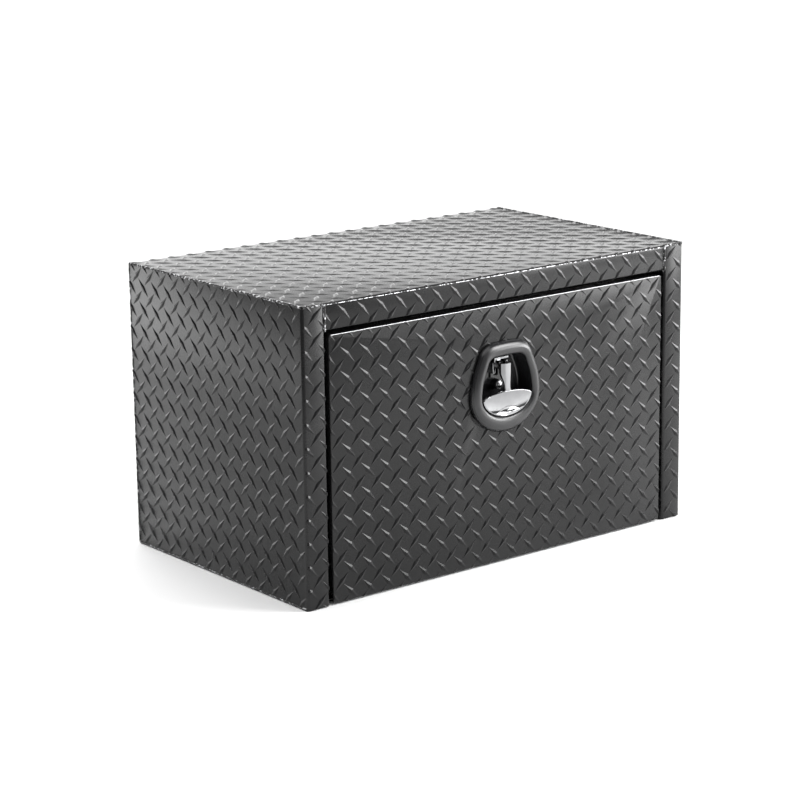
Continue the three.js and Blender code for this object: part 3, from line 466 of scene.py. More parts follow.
rim_line = latch_outline(rim_half, rim_widest, rim_bottom, rim_half_top, rim_top, rim_corner)
bowl_line = latch_outline(bowl_half, bowl_widest, bowl_bottom, bowl_half_top, bowl_top, bowl_corner)


# Tread plate. A sheet's bars are laid out flat on its blank, cut to the blank's outline,
# and folded with the sheet: X runs across the folds, Y along the sheet, Z is the height over it.


def blank(name, outline, low=-2 * bar_skirt, high=2 * bar_height):
    """The flat pattern of a sheet as a thin solid that bars are cut with."""
    bm = bmesh.new()
    face = bm.faces.new([bm.verts.new((x, y, low)) for x, y in outline])
    top_side = bmesh.ops.extrude_face_region(bm, geom=[face])["geom"]
    lifted = [part for part in top_side if isinstance(part, bmesh.types.BMVert)]
    bmesh.ops.translate(bm, vec=(0, 0, high - low), verts=lifted)
    bmesh.ops.recalc_face_normals(bm, faces=bm.faces)
    return piece(name, mesh_of(bm, name))


def tread_bar(name, slices):
    """One bar lying along X, in slices that let it follow a fold."""
    bm = bmesh.new()
    rows = []
    steps = [2 * i / slices - 1 for i in range(slices + 1)]
    for share, height in [(1, -bar_skirt / bar_height)] + bar_rings:
        half, side, z = share * bar_length / 2, share * bar_width / 2, height * bar_height
        left = [bm.verts.new((half * t, side * (1 - abs(t)), z)) for t in steps]
        right = [bm.verts.new((half * t, -side * (1 - abs(t)), z)) for t in steps[1:-1]]
        rows.append((left, [left[0]] + right + [left[-1]]))
    for row, row_above in zip(rows, rows[1:]):
        for low, high in zip(row, row_above):
            for i in range(slices):
                bm.faces.new((low[i], low[i + 1], high[i + 1], high[i]))
    for left, right in (rows[0], rows[-1]):
        for i in range(slices):
            corners = [left[i], left[i + 1], right[i + 1], right[i]]
            bm.faces.new(sorted(set(corners), key=corners.index))
    bmesh.ops.recalc_face_normals(bm, faces=bm.faces)
    return piece(name, mesh_of(bm, name))


class Rule(Graph):
    """A geometry node tree with named inputs."""

    def __init__(self, name, **inputs):
        super().__init__(bpy.data.node_groups.new(name, "GeometryNodeTree"))
        self.tree.interface.new_socket("Geometry", in_out="OUTPUT", socket_type="NodeSocketGeometry")
        self.tree.interface.new_socket("Geometry", in_out="INPUT", socket_type="NodeSocketGeometry")
        for key, kind in inputs.items():
            self.tree.interface.new_socket(key, in_out="INPUT", socket_type="NodeSocket" + kind)
        self.given = self.node("NodeGroupInput")

    def __getitem__(self, name):
        return self.given.also(name)

    def close(self, geometry):
        """End the tree in real geometry with its finish."""
        real = self.node("GeometryNodeRealizeInstances", None, {"Geometry": geometry})
        finished = self.node("GeometryNodeSetMaterial", None, {"Geometry": real, "Material": self["finish"]})
        self.node("NodeGroupOutput", None, {"Geometry": finished})

    def run(self, carrier, **values):
        """The plain mesh that this rule makes from an object, which it uses up."""
        modifier = carrier.modifiers.new(self.tree.name, "NODES")
        modifier.node_group = self.tree
        sockets = {s.name: s.identifier for s in self.tree.interface.items_tree if s.in_out == "INPUT"}
        for key, value in values.items():
            modifier[sockets[key]] = value
        return applied(carrier)


def tread_rule():
    rule = Rule("tread_plate", blank="Object", cutout="Object", bar="Object", folding_bar="Object",
                finish="Material", first="Vector", size="Vector", columns="Int", rows="Int",
                half_step="Vector", fold_radius="Float", fold_reach="Float", across="Vector")
    line = rule.node("GeometryNodeMeshToCurve", None, {"Mesh": rule["Geometry"]})
    folded = rule.node("GeometryNodeFilletCurve", {"mode": "POLY"}, {
        "Curve": line, "Radius": rule["fold_radius"], "Count": 10, "Limit Radius": True})
    path = rule.node("GeometryNodeResampleCurve", {"mode": "LENGTH"}, {"Curve": folded, "Length": 0.5 * mm})

    def along(length, output):
        values = {"Curves": path, "Length": length}
        return rule.node("GeometryNodeSampleCurve", {"mode": "LENGTH"}, values, output)

    def part(position, axis):
        return rule.node("ShaderNodeSeparateXYZ", None, {"Vector": position}, axis)

    here = rule.node("GeometryNodeInputPosition")
    distance = part(here, "Y")
    before, after = [along(distance + reach, "Tangent") for reach in
                     (rule["fold_reach"] * -1, rule["fold_reach"])]
    straight = rule.vector("DOT_PRODUCT", before, after, "Value")
    grid = rule.node("GeometryNodeMeshGrid", None, {
        "Size X": part(rule["size"], "X"), "Size Y": part(rule["size"], "Y"),
        "Vertices X": rule["columns"], "Vertices Y": rule["rows"]}, "Mesh")
    bars = []
    for share, turn in ((0, -pi / 4), (1, pi / 4)):
        shift = rule.vector("ADD", rule["first"], rule.scaled(rule["half_step"], share))
        places = rule.node("GeometryNodeTransform", None, {"Geometry": grid, "Translation": shift})
        for key, chosen in (("bar", "GREATER_THAN"), ("folding_bar", "LESS_EQUAL")):
            shape = rule.node("GeometryNodeObjectInfo", None, {"Object": rule[key]}, "Geometry")
            wanted = rule.node("FunctionNodeCompare", {"operation": chosen}, {
                "A": straight, "B": straight_enough})
            bars.append(rule.node("GeometryNodeInstanceOnPoints", None, {
                "Points": places, "Instance": shape, "Selection": wanted, "Rotation": (0, 0, turn)}))
    every = rule.node("GeometryNodeRealizeInstances", None, {
        "Geometry": rule.node("GeometryNodeJoinGeometry", None, {"Geometry": bars})})
    outline = rule.node("GeometryNodeObjectInfo", None, {"Object": rule["blank"]}, "Geometry")
    inside = rule.node("GeometryNodeMeshBoolean", {"operation": "INTERSECT", "solver": "MANIFOLD"},
                       {"Mesh": [every, outline]})
    hole = rule.node("GeometryNodeObjectInfo", None, {"Object": rule["cutout"]}, "Geometry")
    left = rule.node("GeometryNodeMeshBoolean", {"operation": "DIFFERENCE", "solver": "MANIFOLD"},
                     {"Mesh 1": inside, "Mesh 2": hole})
    ahead = along(distance, "Tangent")
    outward = rule.vector("CROSS_PRODUCT", rule["across"], ahead)
    sideways = rule.scaled(rule["across"], part(here, "X"))
    raised = rule.scaled(outward, part(here, "Z"))
    folded_place = rule.vector("ADD", along(distance, "Position"), rule.vector("ADD", sideways, raised))
    rule.close(rule.node("GeometryNodeSetPosition", None, {"Geometry": left, "Position": folded_place}))
    return rule


tread_plate = tread_rule()


def tread(name, body, corners, across, outline, phase, pitch, cutout=None):
    """The bars of one sheet. corners is the line that it is folded along, from its first edge;
    phase is the place of one bar on the blank, and the crossed bars lie half a step from it."""
    low = [min(p[i] for p in outline) for i in (0, 1)]
    high = [max(p[i] for p in outline) for i in (0, 1)]
    first = [phase[i] - pitch[i] * (int((phase[i] - low[i]) / pitch[i]) + 1) for i in (0, 1)]
    counts = [int((high[i] - first[i]) / pitch[i]) + 2 for i in (0, 1)]
    size = [pitch[i] * (counts[i] - 1) for i in (0, 1)]
    carrier = piece(name + "_line", line_mesh(name, [corners]))
    helpers = [blank(name + "_blank", outline),
               blank(name + "_cutout", cutout or nowhere, -4 * bar_skirt, 3 * bar_height),
               tread_bar(name + "_bar", 2), tread_bar(name + "_folding_bar", bar_slices)]
    mesh = tread_plate.run(
        carrier, blank=helpers[0], cutout=helpers[1], bar=helpers[2], folding_bar=helpers[3],
        finish=bar_black, first=(first[0] + size[0] / 2, first[1] + size[1] / 2, 0), size=(*size, 0),
        columns=counts[0], rows=counts[1], half_step=(pitch[0] / 2, pitch[1] / 2, 0),
        fold_radius=bend_radius, fold_reach=bend_reach, across=across)
    for helper in helpers:
        bpy.data.objects.remove(helper)
    mesh.name = name
    return piece(name, mesh, body, bar_black, "tread_plate")


# Lengths along the folded sheets: a bend is shorter than the two straights that it stands for
bend_length = bend_radius * pi / 2
header_start = return_depth - bend_radius + bend_length
header_end = header_start + top - header_edge - 2 * bend_radius
top_start = header_end + bend_length
wrap_half = half_width - plate - weld_gap
wrap_header_half = post_edge - weld_gap
wrap_notch = header_end + bend_length * 0.85
wrap_end = top_start + 2 * bend_length + 2 * (back - front) + top - 5 * bend_radius - floor_front
post_start = header_start
side_start = post_start + half_width - post_edge - 2 * bend_radius + bend_length
side_end = side_start + back - front - bend_radius

# The place of one bar's middle on the blank of each sheet
wrap_phase = (-306.5 * mm, header_start + 441.5 * mm - header_edge - bend_radius)
left_phase = (441.3 * mm, side_start + back - 22.5 * mm - front - bend_radius)
right_phase = (-406.5 * mm, post_start + 352.5 * mm - post_edge - bend_radius)
door_phase = (-300.4 * mm, 376.9 * mm)

tread("tread_wrap", "case", [
    (0, front + return_depth, header_edge), (0, front, header_edge), (0, front, top),
    (0, back, top), (0, back, 0), (0, front + floor_front, 0)], (1, 0, 0), [
    (-wrap_header_half, 0), (wrap_header_half, 0), (wrap_header_half, wrap_notch), (wrap_half, wrap_notch),
    (wrap_half, wrap_end), (-wrap_half, wrap_end), (-wrap_half, wrap_notch), (-wrap_header_half, wrap_notch)],
    wrap_phase, (pitch_across, 36.1 * mm))
tread("tread_side_left", "case", [
    (-post_edge, front + return_depth, 0), (-post_edge, front, 0),
    (-half_width, front, 0), (-half_width, back, 0)],
    (0, 0, 1), [(0, 0), (top, 0), (top, side_end), (0, side_end)],
    left_phase, (36 * mm, 35.1 * mm))
tread("tread_side_right", "case", [
    (post_edge, front + return_depth, 0), (post_edge, front, 0),
    (half_width, front, 0), (half_width, back, 0)],
    (0, 0, -1), [(-top, 0), (0, 0), (0, side_end), (-top, side_end)],
    right_phase, (35.3 * mm, 36.2 * mm))
tread_half, tread_low, tread_high = door_half - door_inset, door_low + door_inset, door_top - door_inset
tread("tread_door", "door", [(0, front, 0), (0, front, top)], (1, 0, 0), [
    (-tread_half, tread_low), (tread_half, tread_low), (tread_half, tread_high), (-tread_half, tread_high)],
    door_phase, (pitch_across, pitch_along), [(p.x, p.y + latch_height) for p in grown(rim_line, -2 * mm)])


# Weld beads: lumpy ripples along the corner seams and down the header's ends


def bead_rule():
    rule = Rule("weld_bead", radius="Float", step="Float", ripple="Float", lump="Float", finish="Material")
    line = rule.node("GeometryNodeMeshToCurve", None, {"Mesh": rule["Geometry"]})
    path = rule.node("GeometryNodeResampleCurve", {"mode": "LENGTH"}, {"Curve": line, "Length": rule["step"]})
    length = rule.node("GeometryNodeSplineParameter", None, None, "Length")
    marked = rule.node("GeometryNodeStoreNamedAttribute", {"data_type": "FLOAT", "domain": "POINT"},
                       {"Geometry": path, "Name": "along", "Value": length})
    ring = rule.node("GeometryNodeCurvePrimitiveCircle", None, {"Resolution": 10, "Radius": rule["radius"]})
    tube = rule.node("GeometryNodeCurveToMesh", None, {
        "Curve": marked, "Profile Curve": ring, "Fill Caps": True})
    here = rule.node("GeometryNodeInputPosition")
    along = rule.node("GeometryNodeInputNamedAttribute", {"data_type": "FLOAT"}, {"Name": "along"})
    wander, lumps = [rule.node("ShaderNodeTexNoise", None, {"Vector": here, "Scale": scale, "Detail": detail})
                     for scale, detail in ((120.0, 3.0), (320.0, 2.0))]
    phase = along / ripple_pitch + wander * ripple_wander
    crest = rule.node("ShaderNodeMath", {"operation": "FRACT"}, {0: phase})
    height = (crest ** 0.7 - 0.5) * rule["ripple"] + (lumps - 0.5) * rule["lump"]
    swell = rule.scaled(rule.node("GeometryNodeInputNormal"), height)
    rule.close(rule.node("GeometryNodeSetPosition", None, {"Geometry": tube, "Offset": swell}))
    return rule


ripple_pitch = 2.3 * mm
ripple_wander = 2.5
ripple_height = 0.5 * mm
lump_height = 1.6 * mm
bead_step = 0.6 * mm
seam_bead_radius = 2.5 * mm
corner_bead_radius = 2.2 * mm
weld_bead = bead_rule()


def weld(name, lines, radius, stands_for=()):
    """A bead of weld along each of the lines, on the case."""
    carrier = piece(name + "_line", line_mesh(name, lines))
    # The bead's finish paints glints on it as patches of bright metal
    mesh = weld_bead.run(carrier, radius=radius, step=bead_step, ripple=ripple_height, lump=lump_height,
                         finish=bead_with_painted_glints)
    mesh.name = name
    return piece(name, shade(mesh, 60), "case", bead_with_painted_glints, "tread_plate", stands_for)


# How far the middles of the beads lie inside the edges that they join, and where they end
side_sink, top_sink, back_sink, floor_sink = 1.5 * mm, 0.9 * mm, 1 * mm, 1.6 * mm
post_sink, crest_sink, seam_sink, jamb_sink = 1.7 * mm, 1.3 * mm, 1.1 * mm, 0.4 * mm
corner_turn, run_out, seam_foot = 1.5 * mm, 2 * mm, 0.5 * mm
corner_lines, seam_lines = [], []
for way in (-1, 1):
    x, seam_x = way * (half_width - side_sink), way * post_edge
    corner_lines += [
        [(x, front + run_out, top - top_sink), (x, back - corner_turn, top - top_sink)],
        [(x, back - back_sink, top - corner_turn), (x, back - back_sink, run_out)],
        [(x, back - corner_turn, floor_sink), (x, front + 2 * run_out, floor_sink)],
        [(way * (half_width - run_out), front + post_sink, top - crest_sink),
         (seam_x, front + post_sink, top - crest_sink)]]
    seam_lines += [
        [(seam_x, front + seam_sink, top - 2 * corner_turn),
         (seam_x, front + seam_sink, header_edge + seam_foot)],
        [(seam_x, front + run_out, header_edge + jamb_sink),
         (seam_x, front + return_depth, header_edge + jamb_sink)]]

weld("corner_welds", corner_lines, corner_bead_radius)
weld("header_welds", seam_lines, seam_bead_radius, ["seam_bead_left", "seam_bead_right"])


def edge_line(name, body, half, depth, height, radius, finish):
    """The rounded crest of a bend that runs across the front, as a thin rod whose bright finish paints a
    highlight line along it.
    """
    crest = rod_mesh(radius, (-half, depth, height), (half, depth, height), 24)
    piece(name, shade(crest, 40), body, finish, "tread_plate")


# Painted highlight lines: thin rods of bright metal along the door's top edge and under the case's top front
# edge
edge_line("door_top_edge", "door", door_half - 4 * mm, front + 0.8 * mm, door_top - 0.8 * mm,
          0.65 * mm, rubbed_edge)
edge_line("case_front_edge", "case", post_edge, front + 1.3 * mm, top - 2.7 * mm, 0.9 * mm, broken_edge)


# Latch


def lofted(name, rings, centre_first=None, centre_last=None):
    """A closed solid from rings of points, with a fan at each end."""
    bm = bmesh.new()
    rows = [[bm.verts.new(p) for p in ring] for ring in rings]
    for low, high in zip(rows, rows[1:]):
        for i in range(len(low)):
            j = (i + 1) % len(low)
            bm.faces.new((low[i], low[j], high[j], high[i]))
    for row, centre in ((rows[0], centre_first), (rows[-1], centre_last)):
        middle = bm.verts.new(centre or sum((v.co for v in row), Vector()) / len(row))
        for i in range(len(row)):
            bm.faces.new((row[i], row[(i + 1) % len(row)], middle))
    bmesh.ops.recalc_face_normals(bm, faces=bm.faces)
    if bm.calc_volume(signed=True) < 0:
        bmesh.ops.reverse_faces(bm, faces=bm.faces)
    return mesh_of(bm, name)


def latch_point(p, depth):
    """A point of a latch outline at a depth behind the door's face."""
    return Vector((p.x, front + depth, latch_height + p.y))


def latch_ring(line, depth):
    return [latch_point(p, depth) for p in line]


def between(one, other, share):
    return [a.lerp(b, share) for a, b in zip(one, other)]


def eased(points, share):
    """A smooth curve through (share, level) points."""
    i = max(k for k in range(len(points) - 1) if points[k][0] <= share + 1e-9)
    a, b, c, d = (points[max(0, min(len(points) - 1, i + k))] for k in (-1, 0, 1, 2))
    t = (share - b[0]) / (c[0] - b[0])
    width = c[0] - b[0]
    lean = [(q[1] - p[1]) / (q[0] - p[0]) * width if q[0] > p[0] else 0 for p, q in ((a, c), (b, d))]
    return ((2 * t ** 3 - 3 * t ** 2 + 1) * b[1] + (t ** 3 - 2 * t ** 2 + t) * lean[0]
            + (3 * t ** 2 - 2 * t ** 3) * c[1] + (t ** 3 - t ** 2) * lean[1])


# The rim's section from its outer edge to the bowl, as (share of the way, share of its height)
rim_section = [(0, 0.16), (0.03, 0.36), (0.14, 0.62), (0.3, 0.84), (0.5, 0.98), (0.64, 1), (0.84, 0.92),
               (0.95, 0.8), (1, 0.66)]
rim_steps = 24
rim_height, rim_foot, rim_seat = 12 * mm, 2.4 * mm, 1.8 * mm
rim_undercut = 0.3 * mm

# The bowl's mouth, as (depth in mm, share of its draft), and its sizes below that
mouth_section = ((-6.5, 0.25), (-4, 0.35), (4, 0.6), (12, 0.9))
bowl_depth, bowl_wall, bowl_draft, bowl_fillet = 22 * mm, 2.5 * mm, 1.2 * mm, 4 * mm
fillet_steps = 6
back_chamfer, back_edge = 2 * mm, 1 * mm


def moulded_rim_and_bowl():
    """One solid: up the outside of the bowl from its back, round the rim, and down the inside."""
    bowl_back = bowl_depth + bowl_wall
    wall = grown(bowl_line, bowl_wall)
    rings = [latch_ring(grown(wall, -back_chamfer), bowl_back), latch_ring(wall, bowl_back - back_edge),
             latch_ring(wall, -rim_seat), latch_ring(grown(rim_line, -rim_undercut), -rim_seat),
             latch_ring(rim_line, -rim_foot)]
    for share in (i / rim_steps for i in range(rim_steps + 1)):
        rings.append(latch_ring(between(rim_line, bowl_line, share), -rim_height * eased(rim_section, share)))
    for depth, inset in mouth_section:
        rings.append(latch_ring(grown(bowl_line, -inset * bowl_draft), depth * mm))
    for turn in (i / fillet_steps * pi / 2 for i in range(fillet_steps + 1)):
        inset = bowl_draft + bowl_fillet * (1 - cos(turn))
        rings.append(latch_ring(grown(bowl_line, -inset), bowl_depth - bowl_fillet * (1 - sin(turn))))
    return lofted("latch_moulding", rings, (0, front + bowl_back, latch_height),
                  (0, front + bowl_depth, latch_height))


def carved(mesh, cutters):
    """The mesh less some boxes and rods, which are given as meshes."""
    carrier = piece("carved", mesh)
    tools = [piece("cutter", cutter) for cutter in cutters]
    for tool in tools:
        step = carrier.modifiers.new("cut", "BOOLEAN")
        step.operation, step.solver, step.object = "DIFFERENCE", "MANIFOLD", tool
    result = applied(carrier)
    for tool in tools:
        bpy.data.objects.remove(tool)
    return result


barrel_room = 8.3 * mm
slot_half, slot_low, slot_high = 4.5 * mm, latch_height + 13 * mm, latch_height + 39 * mm
cut_front, cut_back = front + 10 * mm, front + 40 * mm
moulding = carved(moulded_rim_and_bowl(), [
    box_mesh((-slot_half, cut_front, slot_low), (slot_half, cut_back, slot_high)),
    rod_mesh(barrel_room, (0, cut_front, latch_height), (0, cut_back, latch_height))])
moulding = piece("latch_moulding", shade(moulding, 40), "door", rim_black, "moulded_black", ["latch_bowl"])

# The bowl and the rim's foot are glossier than the rim's crest
gloss_depth = front - 7.6 * mm
moulding.data.materials.append(bowl_black)
for face in moulding.data.polygons:
    face.material_index = int(face.center.y > gloss_depth)

# The lift handle: a stem that flares at both ends over a dished paddle with a raised finger ledge
handle_face = -10 * mm
handle_thick = 5 * mm
paddle_top, paddle_tip = -6 * mm, -16 * mm
paddle_gap = 1.5 * mm
paddle_edge, paddle_chamfer = 0.3 * mm, 1.2 * mm
dish_depth, dish_share, dish_steps = 2.4 * mm, 0.955, 40
ledge_left, ledge_right, ledge_low, ledge_lean = -20 * mm, 23 * mm, -40 * mm, 0.05
ledge_rise, ledge_height, ledge_lip = 10 * mm, 2.2 * mm, 0.8 * mm
stem_top, stem_neck, stem_full, stem_foot = 38 * mm, 2 * mm, 24 * mm, 4 * mm
stem_half, stem_flare, foot_flare = 5.5 * mm, 4.5 * mm, 5 * mm
stem_swell, stem_slope, stem_round = 5.5 * mm, 3.4 * mm, 1.2 * mm
stem_steps = 40


def paddle_outline():
    """The lower part of the bowl's outline, made smaller and closed by a flat arch."""
    line = grown(bowl_line, -paddle_gap)
    lower = [p for p in line if p.y < paddle_tip]
    start = next(i for i, p in enumerate(lower) if p.x < 0)
    under = lower[start:] + lower[:start]
    tip = max(p.x for p in lower)
    arc = []
    for i in range(len(lower) // 2):
        x = tip * (1 - 2 * (i + 1) / (len(lower) // 2 + 1))
        arc.append(Vector((x, paddle_tip + (paddle_top - paddle_tip) * (1 - (x / tip) ** 2) ** 0.6)))
    return under + arc


def ledge(x, z):
    """How far the finger ledge stands out of the dish."""
    middle, half = (ledge_left + ledge_right) / 2, (ledge_right - ledge_left) / 2
    across = 1 - ((x - middle) / half) ** 2
    if across <= 0:
        return 0
    low = ledge_low + (x - middle) * ledge_lean
    rise = (z - low) / (ledge_rise * across)
    if rise >= 1:
        return 0
    if rise >= 0:
        return ledge_height * across ** 0.5 * (1 - rise) ** 1.5
    return ledge_height * across ** 0.5 * max(0, 1 + (z - low) / ledge_lip)


def paddle():
    """A dished blade that follows the bowl's outline, with a rounded rim and a shallow back."""
    line = paddle_outline()
    centre = Vector((0, (paddle_top + bowl_bottom) / 2))
    back_face = handle_face + handle_thick
    edge_sink = {1: 1.4 * mm, 0.99: 0.55 * mm, 0.975: 0.15 * mm}
    shares = [*edge_sink, dish_share] + [0.93 - 0.9 * i / dish_steps for i in range(dish_steps + 1)]

    def shrunk(share):
        return [centre + (p - centre) * share for p in line]

    rings = [latch_ring(shrunk(share), back_face + dish_depth * (1 - share ** 2) * 0.9)
             for share in reversed(shares[3::4])]
    rings += [latch_ring(shrunk(0.99), back_face - paddle_edge), latch_ring(line, back_face - paddle_chamfer)]
    for share in shares:
        sink = edge_sink.get(share, 0) + dish_depth * (1 - min(1, share / dish_share) ** 2.2)
        rings.append([latch_point(q, handle_face + sink - ledge(q.x, q.y)) for q in shrunk(share)])
    return lofted("paddle", rings)


def stem():
    """A stem that is wide and deep at its top, has sloping flanks and narrows to a neck over the paddle."""
    low, high = paddle_top - stem_foot, stem_top
    rings = []
    for i in range(stem_steps + 1):
        z = low + (high - low) * i / stem_steps
        share = min(1, max(0, (z - stem_neck) / (stem_full - stem_neck)))
        flare = 3 * share ** 2 - 2 * share ** 3
        foot = max(0, (stem_neck - z) / (stem_neck - low))
        blend = max(0, (paddle_top + stem_foot - z) / (2 * stem_foot))
        half = stem_half + stem_flare * flare + foot_flare * foot ** 3
        slope = stem_round + stem_slope * flare
        trim = stem_round * max(0, 1 - (high - z) / stem_round) ** 2
        near = handle_face + trim + stem_round * blend ** 2
        far = handle_face + handle_thick + stem_swell * flare - trim
        side = [(0, near - 0.4 * mm), (half - slope - 1.2 * mm, near - 0.25 * mm), (half - slope, near),
                (half - slope + 0.5 * mm, near + 0.4 * mm), (half - 0.3 * mm, near + slope - 0.4 * mm),
                (half, near + slope), (half, far - 0.8 * mm), (half - 0.8 * mm, far), (0, far)]
        ring = [(x - trim * (x > 0), y) for x, y in side]
        ring += [(-x, y) for x, y in reversed(ring[1:-1])]
        rings.append([Vector((x, front + y, latch_height + z)) for x, y in ring])
    return lofted("stem", rings)


bm = bmesh.new()
for part in (paddle(), stem()):
    bm.from_mesh(part)
handle_mesh = shade(mesh_of(bm, "lift_handle_chromed"), 30)
piece("lift_handle_chromed", handle_mesh, "handle", chrome, "chrome", ["lift_handle"])


# Shroud over the handle's hub: a roof, and two cheeks that taper down along the bowl's floor
def side_plate(points, x0, x1):
    """A flat outline of (depth, height) points, as a plate between two places across the door."""
    return lofted("plate", [[Vector((x, front + y, latch_height + z)) for y, z in points] for x in (x0, x1)])


def front_plate(points, y0, y1):
    """A flat outline of (across, height) points, as a plate between two depths."""
    return lofted("plate", [[Vector((x, front + y, latch_height + z)) for x, z in points] for y in (y0, y1)])


roof_left, roof_right, roof_top = -16 * mm, 12 * mm, 46 * mm
roof_front, roof_back, cheek_front = 3 * mm, 21.6 * mm, 8 * mm
lever_room = 4 * mm
roof = [(roof_back, roof_top - 4 * mm), (roof_back, roof_top - 1 * mm), (roof_front + 1 * mm, roof_top),
        (roof_front, roof_top - 1 * mm)]
hook = [(3.4 * mm, roof_top - 8 * mm), (5 * mm, roof_top - 9 * mm), (7 * mm, roof_top - 4 * mm)]
plain_edge = [(3.2 * mm, roof_top - 3.6 * mm)]
cheek = [(15.5 * mm, 37.5 * mm), (9 * mm, 37.5 * mm), (10.5 * mm, 21 * mm), (12 * mm, 18.5 * mm),
         (15 * mm, 20 * mm)]
bm = bmesh.new()
bm.from_mesh(side_plate(roof + hook, roof_left, -lever_room))
bm.from_mesh(side_plate(roof + plain_edge, -lever_room, roof_right))
for way in (-1, 1):
    bm.from_mesh(front_plate([(way * x, z) for x, z in cheek], cheek_front, roof_back))
shroud = shade(bevelled("hub_shroud", mesh_of(bm, "hub_shroud"), 0.6 * mm, 3, 30), 40)
piece("hub_shroud", shroud, "door", chrome, "chrome")

# The shutter over the key slot: a low dome with a turned down rim
shutter_radius, shutter_depth, shutter_rise, shutter_rim = 4.2 * mm, 9.6 * mm, 1.8 * mm, 0.4 * mm
circle = [Vector((cos(turn), sin(turn))) * shutter_radius for turn in (k / 32 * 2 * pi for k in range(32))]
rings = [latch_ring(circle, shutter_depth + shutter_rim)]
for share in (0.98, 0.9, 0.75, 0.5, 0.2):
    depth = shutter_depth - shutter_rise * (1 - share ** 2) ** 0.5
    rings.append(latch_ring([p * share for p in circle], depth))
shutter = shade(lofted("key_shutter", rings), 60)
piece("key_shutter", shutter, body_of["lock_plug"], shutter_nickel, "chrome")


# Bolt spring, a round wire coil that the bolt presses together
spring_low, spring_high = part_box("bolt_spring")
spring_wire = 0.55 * mm
spring_turns = 9.0


def coil_rule():
    rule = Rule("wire_coil", radius="Float", wire="Float", turns="Float", height="Float", start="Vector",
                finish="Material")
    spiral = rule.node("GeometryNodeCurveSpiral", None, {
        "Resolution": 40, "Rotations": rule["turns"], "Start Radius": rule["radius"],
        "End Radius": rule["radius"], "Height": rule["height"], "Reverse": False})
    ring = rule.node("GeometryNodeCurvePrimitiveCircle", None, {"Resolution": 12, "Radius": rule["wire"]})
    wire = rule.node("GeometryNodeCurveToMesh", None, {
        "Curve": spiral, "Profile Curve": ring, "Fill Caps": True})
    rule.close(rule.node("GeometryNodeTransform", None, {"Geometry": wire, "Translation": rule["start"]}))
    return rule


spring_axis = (spring_low + spring_high) / 2
spring_length = spring_high.z - spring_low.z
coil = coil_rule().run(
    piece("spring_line", line_mesh("spring_line", [])), wire=spring_wire, turns=spring_turns,
    radius=(spring_high.x - spring_low.x) / 2 - spring_wire, height=spring_length - 2 * spring_wire,
    start=(spring_axis.x, spring_axis.y, spring_low.z + spring_wire), finish=pin_steel)
coil.name = "bolt_spring_wire"
spring = piece("bolt_spring_wire", shade(coil, 40), "door", pin_steel, "zinc_steel", ["bolt_spring"])
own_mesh(spring)


# Door seal: a hollow looking bulb of sponge rubber that runs round the inner sheet
def seal_rule():
    rule = Rule("seal_bulb", bulb="Float", corner="Float", finish="Material")
    line = rule.node("GeometryNodeMeshToCurve", None, {"Mesh": rule["Geometry"]})
    looped = rule.node("GeometryNodeSetSplineCyclic", None, {"Geometry": line, "Cyclic": True})
    rounded = rule.node("GeometryNodeFilletCurve", {"mode": "POLY"}, {
        "Curve": looped, "Radius": rule["corner"], "Count": 12, "Limit Radius": True})
    flat = rule.node("GeometryNodeSetCurveNormal", {"mode": "FREE"}, {"Curve": rounded, "Normal": (0, 1, 0)})
    ring = rule.node("GeometryNodeCurvePrimitiveCircle", None, {"Resolution": 24, "Radius": rule["bulb"]})
    rule.close(rule.node("GeometryNodeCurveToMesh", None, {"Curve": flat, "Profile Curve": ring}))
    return rule


seal_low, seal_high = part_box("door_seal")
seal_depth, bulb = (seal_low.y + seal_high.y) / 2, (seal_high.y - seal_low.y) / 2
left, right = seal_low.x + bulb, seal_high.x - bulb
low, high = seal_low.z + bulb, seal_high.z - bulb
loop = [(x, seal_depth, z) for x, z in ((left, low), (right, low), (right, high), (left, high))]
seal_line = piece("seal_line", line_mesh("seal_line", [loop]))
seal = seal_rule().run(seal_line, bulb=bulb, corner=8 * mm, finish=rubber)
seal.name = "door_seal_bulb"
piece("door_seal_bulb", shade(seal, 40), "door", rubber, "seal_rubber", ["door_seal"])


# Every other CAD piece keeps its shape, with softened edges and smooth bends
slot_of = {part["node"]: part["material_slot"] for part in frame["record"]["subparts"]}
slot_finish = {"tread_plate": tread_black, "smooth_sheet": sheet_black, "zinc_steel": zinc, "chrome": chrome,
               "moulded_black": bowl_black, "seal_rubber": rubber}
edges = {"tread_plate": 0.4 * mm, "smooth_sheet": 0.4 * mm, "zinc_steel": 0.25 * mm, "chrome": 0.35 * mm,
         "seal_rubber": 0.2 * mm}
node_finish = {"lock_barrel": bowl_black, "pivot_hub": bowl_black, "lock_plug": shutter_nickel}
pins = [node for node in frame["nodes"] if "pin" in node or "stud" in node or "rivet" in node]
for node, made in frame["nodes"].items():
    if not made.hide_render:
        slot = slot_of[node]
        finish = node_finish.get(node, pin_steel if node in pins else slot_finish[slot])
        softened(node, finish, slot, edges[slot])


# Floor, light and camera
bm = bmesh.new()
bmesh.ops.create_grid(bm, x_segments=1, y_segments=1, size=60)
bmesh.ops.translate(bm, vec=(0, 0, -bar_height), verts=bm.verts)
floor_finish = Finish("studio_floor", roughness=0.9)
floor_finish.set("Base Color", (0.9, 0.9, 0.9, 1))
floor = piece("studio_floor", mesh_of(bm, "studio_floor"), None, floor_finish.material)

world = bpy.data.worlds.new("studio")
world.use_nodes = True
background = world.node_tree.nodes["Background"]
background.inputs["Color"].default_value = (1, 1, 1, 1)
background.inputs["Strength"].default_value = 0.2
bpy.context.scene.world = world


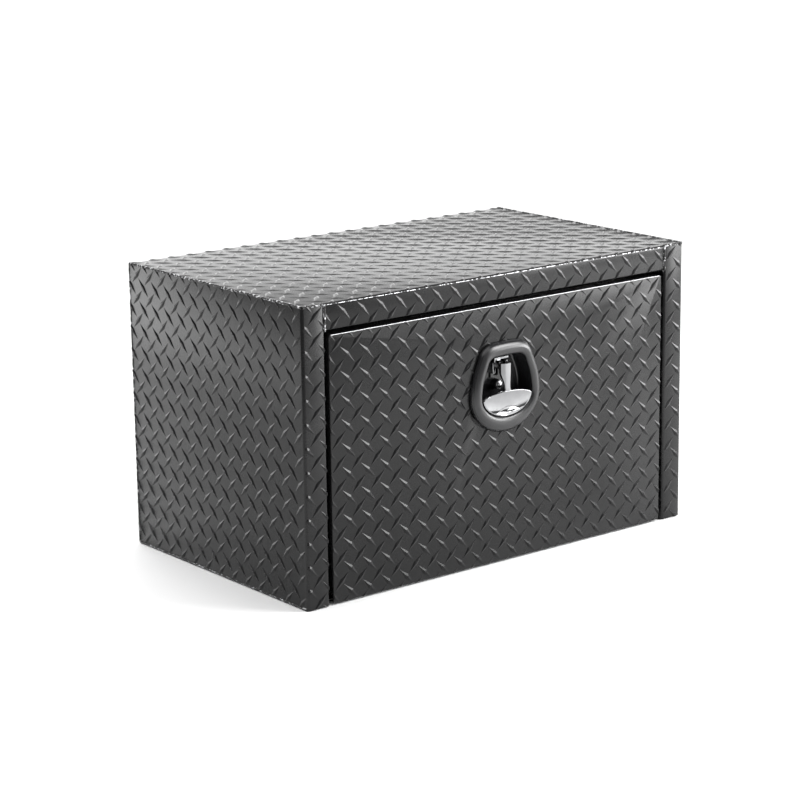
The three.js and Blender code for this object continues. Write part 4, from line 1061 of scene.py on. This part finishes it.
def soft_light(name, place, aim, width, height, radiance):
    """A soft box whose face has an even brightness."""
    lamp = bpy.data.lights.new(name, "AREA")
    lamp.shape, lamp.size, lamp.size_y = "RECTANGLE", width, height
    lamp.energy = radiance * pi * width * height
    made = bpy.data.objects.new(name, lamp)
    bpy.context.scene.collection.objects.link(made)
    made.location = place
    made.rotation_euler = (Vector(aim) - Vector(place)).to_track_quat("-Z", "Y").to_euler()
    made.visible_camera = False


soft_light("backdrop", (9, 11.5, 3.6), (0, 0, 0.6), 22, 7.2, 1.9)
soft_light("far_ceiling", (5.5, 8, 6.5), (5.5, 8.01, 0), 11, 11, 2)
soft_light("ceiling", (-1.2, 0, 3.2), (-1.2, 0.01, 0), 3.6, 5, 1.8)
soft_light("high_box", (1.45, -1.75, 1.9), (0, -0.2, 0.35), 1.3, 1, 16)
soft_light("key_box", (3.3, -2.13, 1.15), (0, -0.2, 0.3), 2.7, 1.2, 13)
soft_light("right_box", (2.6, -0.35, 0.5), (0.1, -0.25, 0.25), 1.4, 0.7, 3.6)
soft_light("front_band", (1.35, -2.3, 0.6), (0, -0.2, 0.3), 2, 0.6, 2.5)
soft_light("back_box", (-0.2, 3.4, 0.55), (-0.3, 0.2, 0.3), 1.8, 1, 1.5)
soft_light("left_strip", (-1.75, 1.75, 0.25), (-0.4, 0, 0.25), 2.4, 0.45, 3)
soft_light("left_glow", (-1.15, 0.65, 1.2), (-1.15, 0.66, 0), 0.8, 0.6, 5.5)

# The camera looks along view; level lies across it, and roll turns the picture upright
azimuth, elevation, roll = radians(38.25), radians(13.98), radians(-0.78)
view = Vector((sin(azimuth) * cos(elevation), cos(azimuth) * cos(elevation), -sin(elevation)))
level = Vector((cos(azimuth), -sin(azimuth), 0))
upright = level.cross(view)
right = cos(roll) * level + sin(roll) * upright
up = -sin(roll) * level + cos(roll) * upright
camera = bpy.data.objects.new("camera", bpy.data.cameras.new("camera"))
camera.data.lens, camera.data.sensor_width, camera.data.clip_end = 113.43, 36, 200
camera_place = Matrix.Translation((-2.4549, -3.0844, 1.1973))
camera.matrix_world = camera_place @ Matrix((right, up, -view)).transposed().to_4x4()
bpy.context.scene.collection.objects.link(camera)
bpy.context.scene.camera = camera
bpy.context.scene.view_settings.view_transform = "Standard"
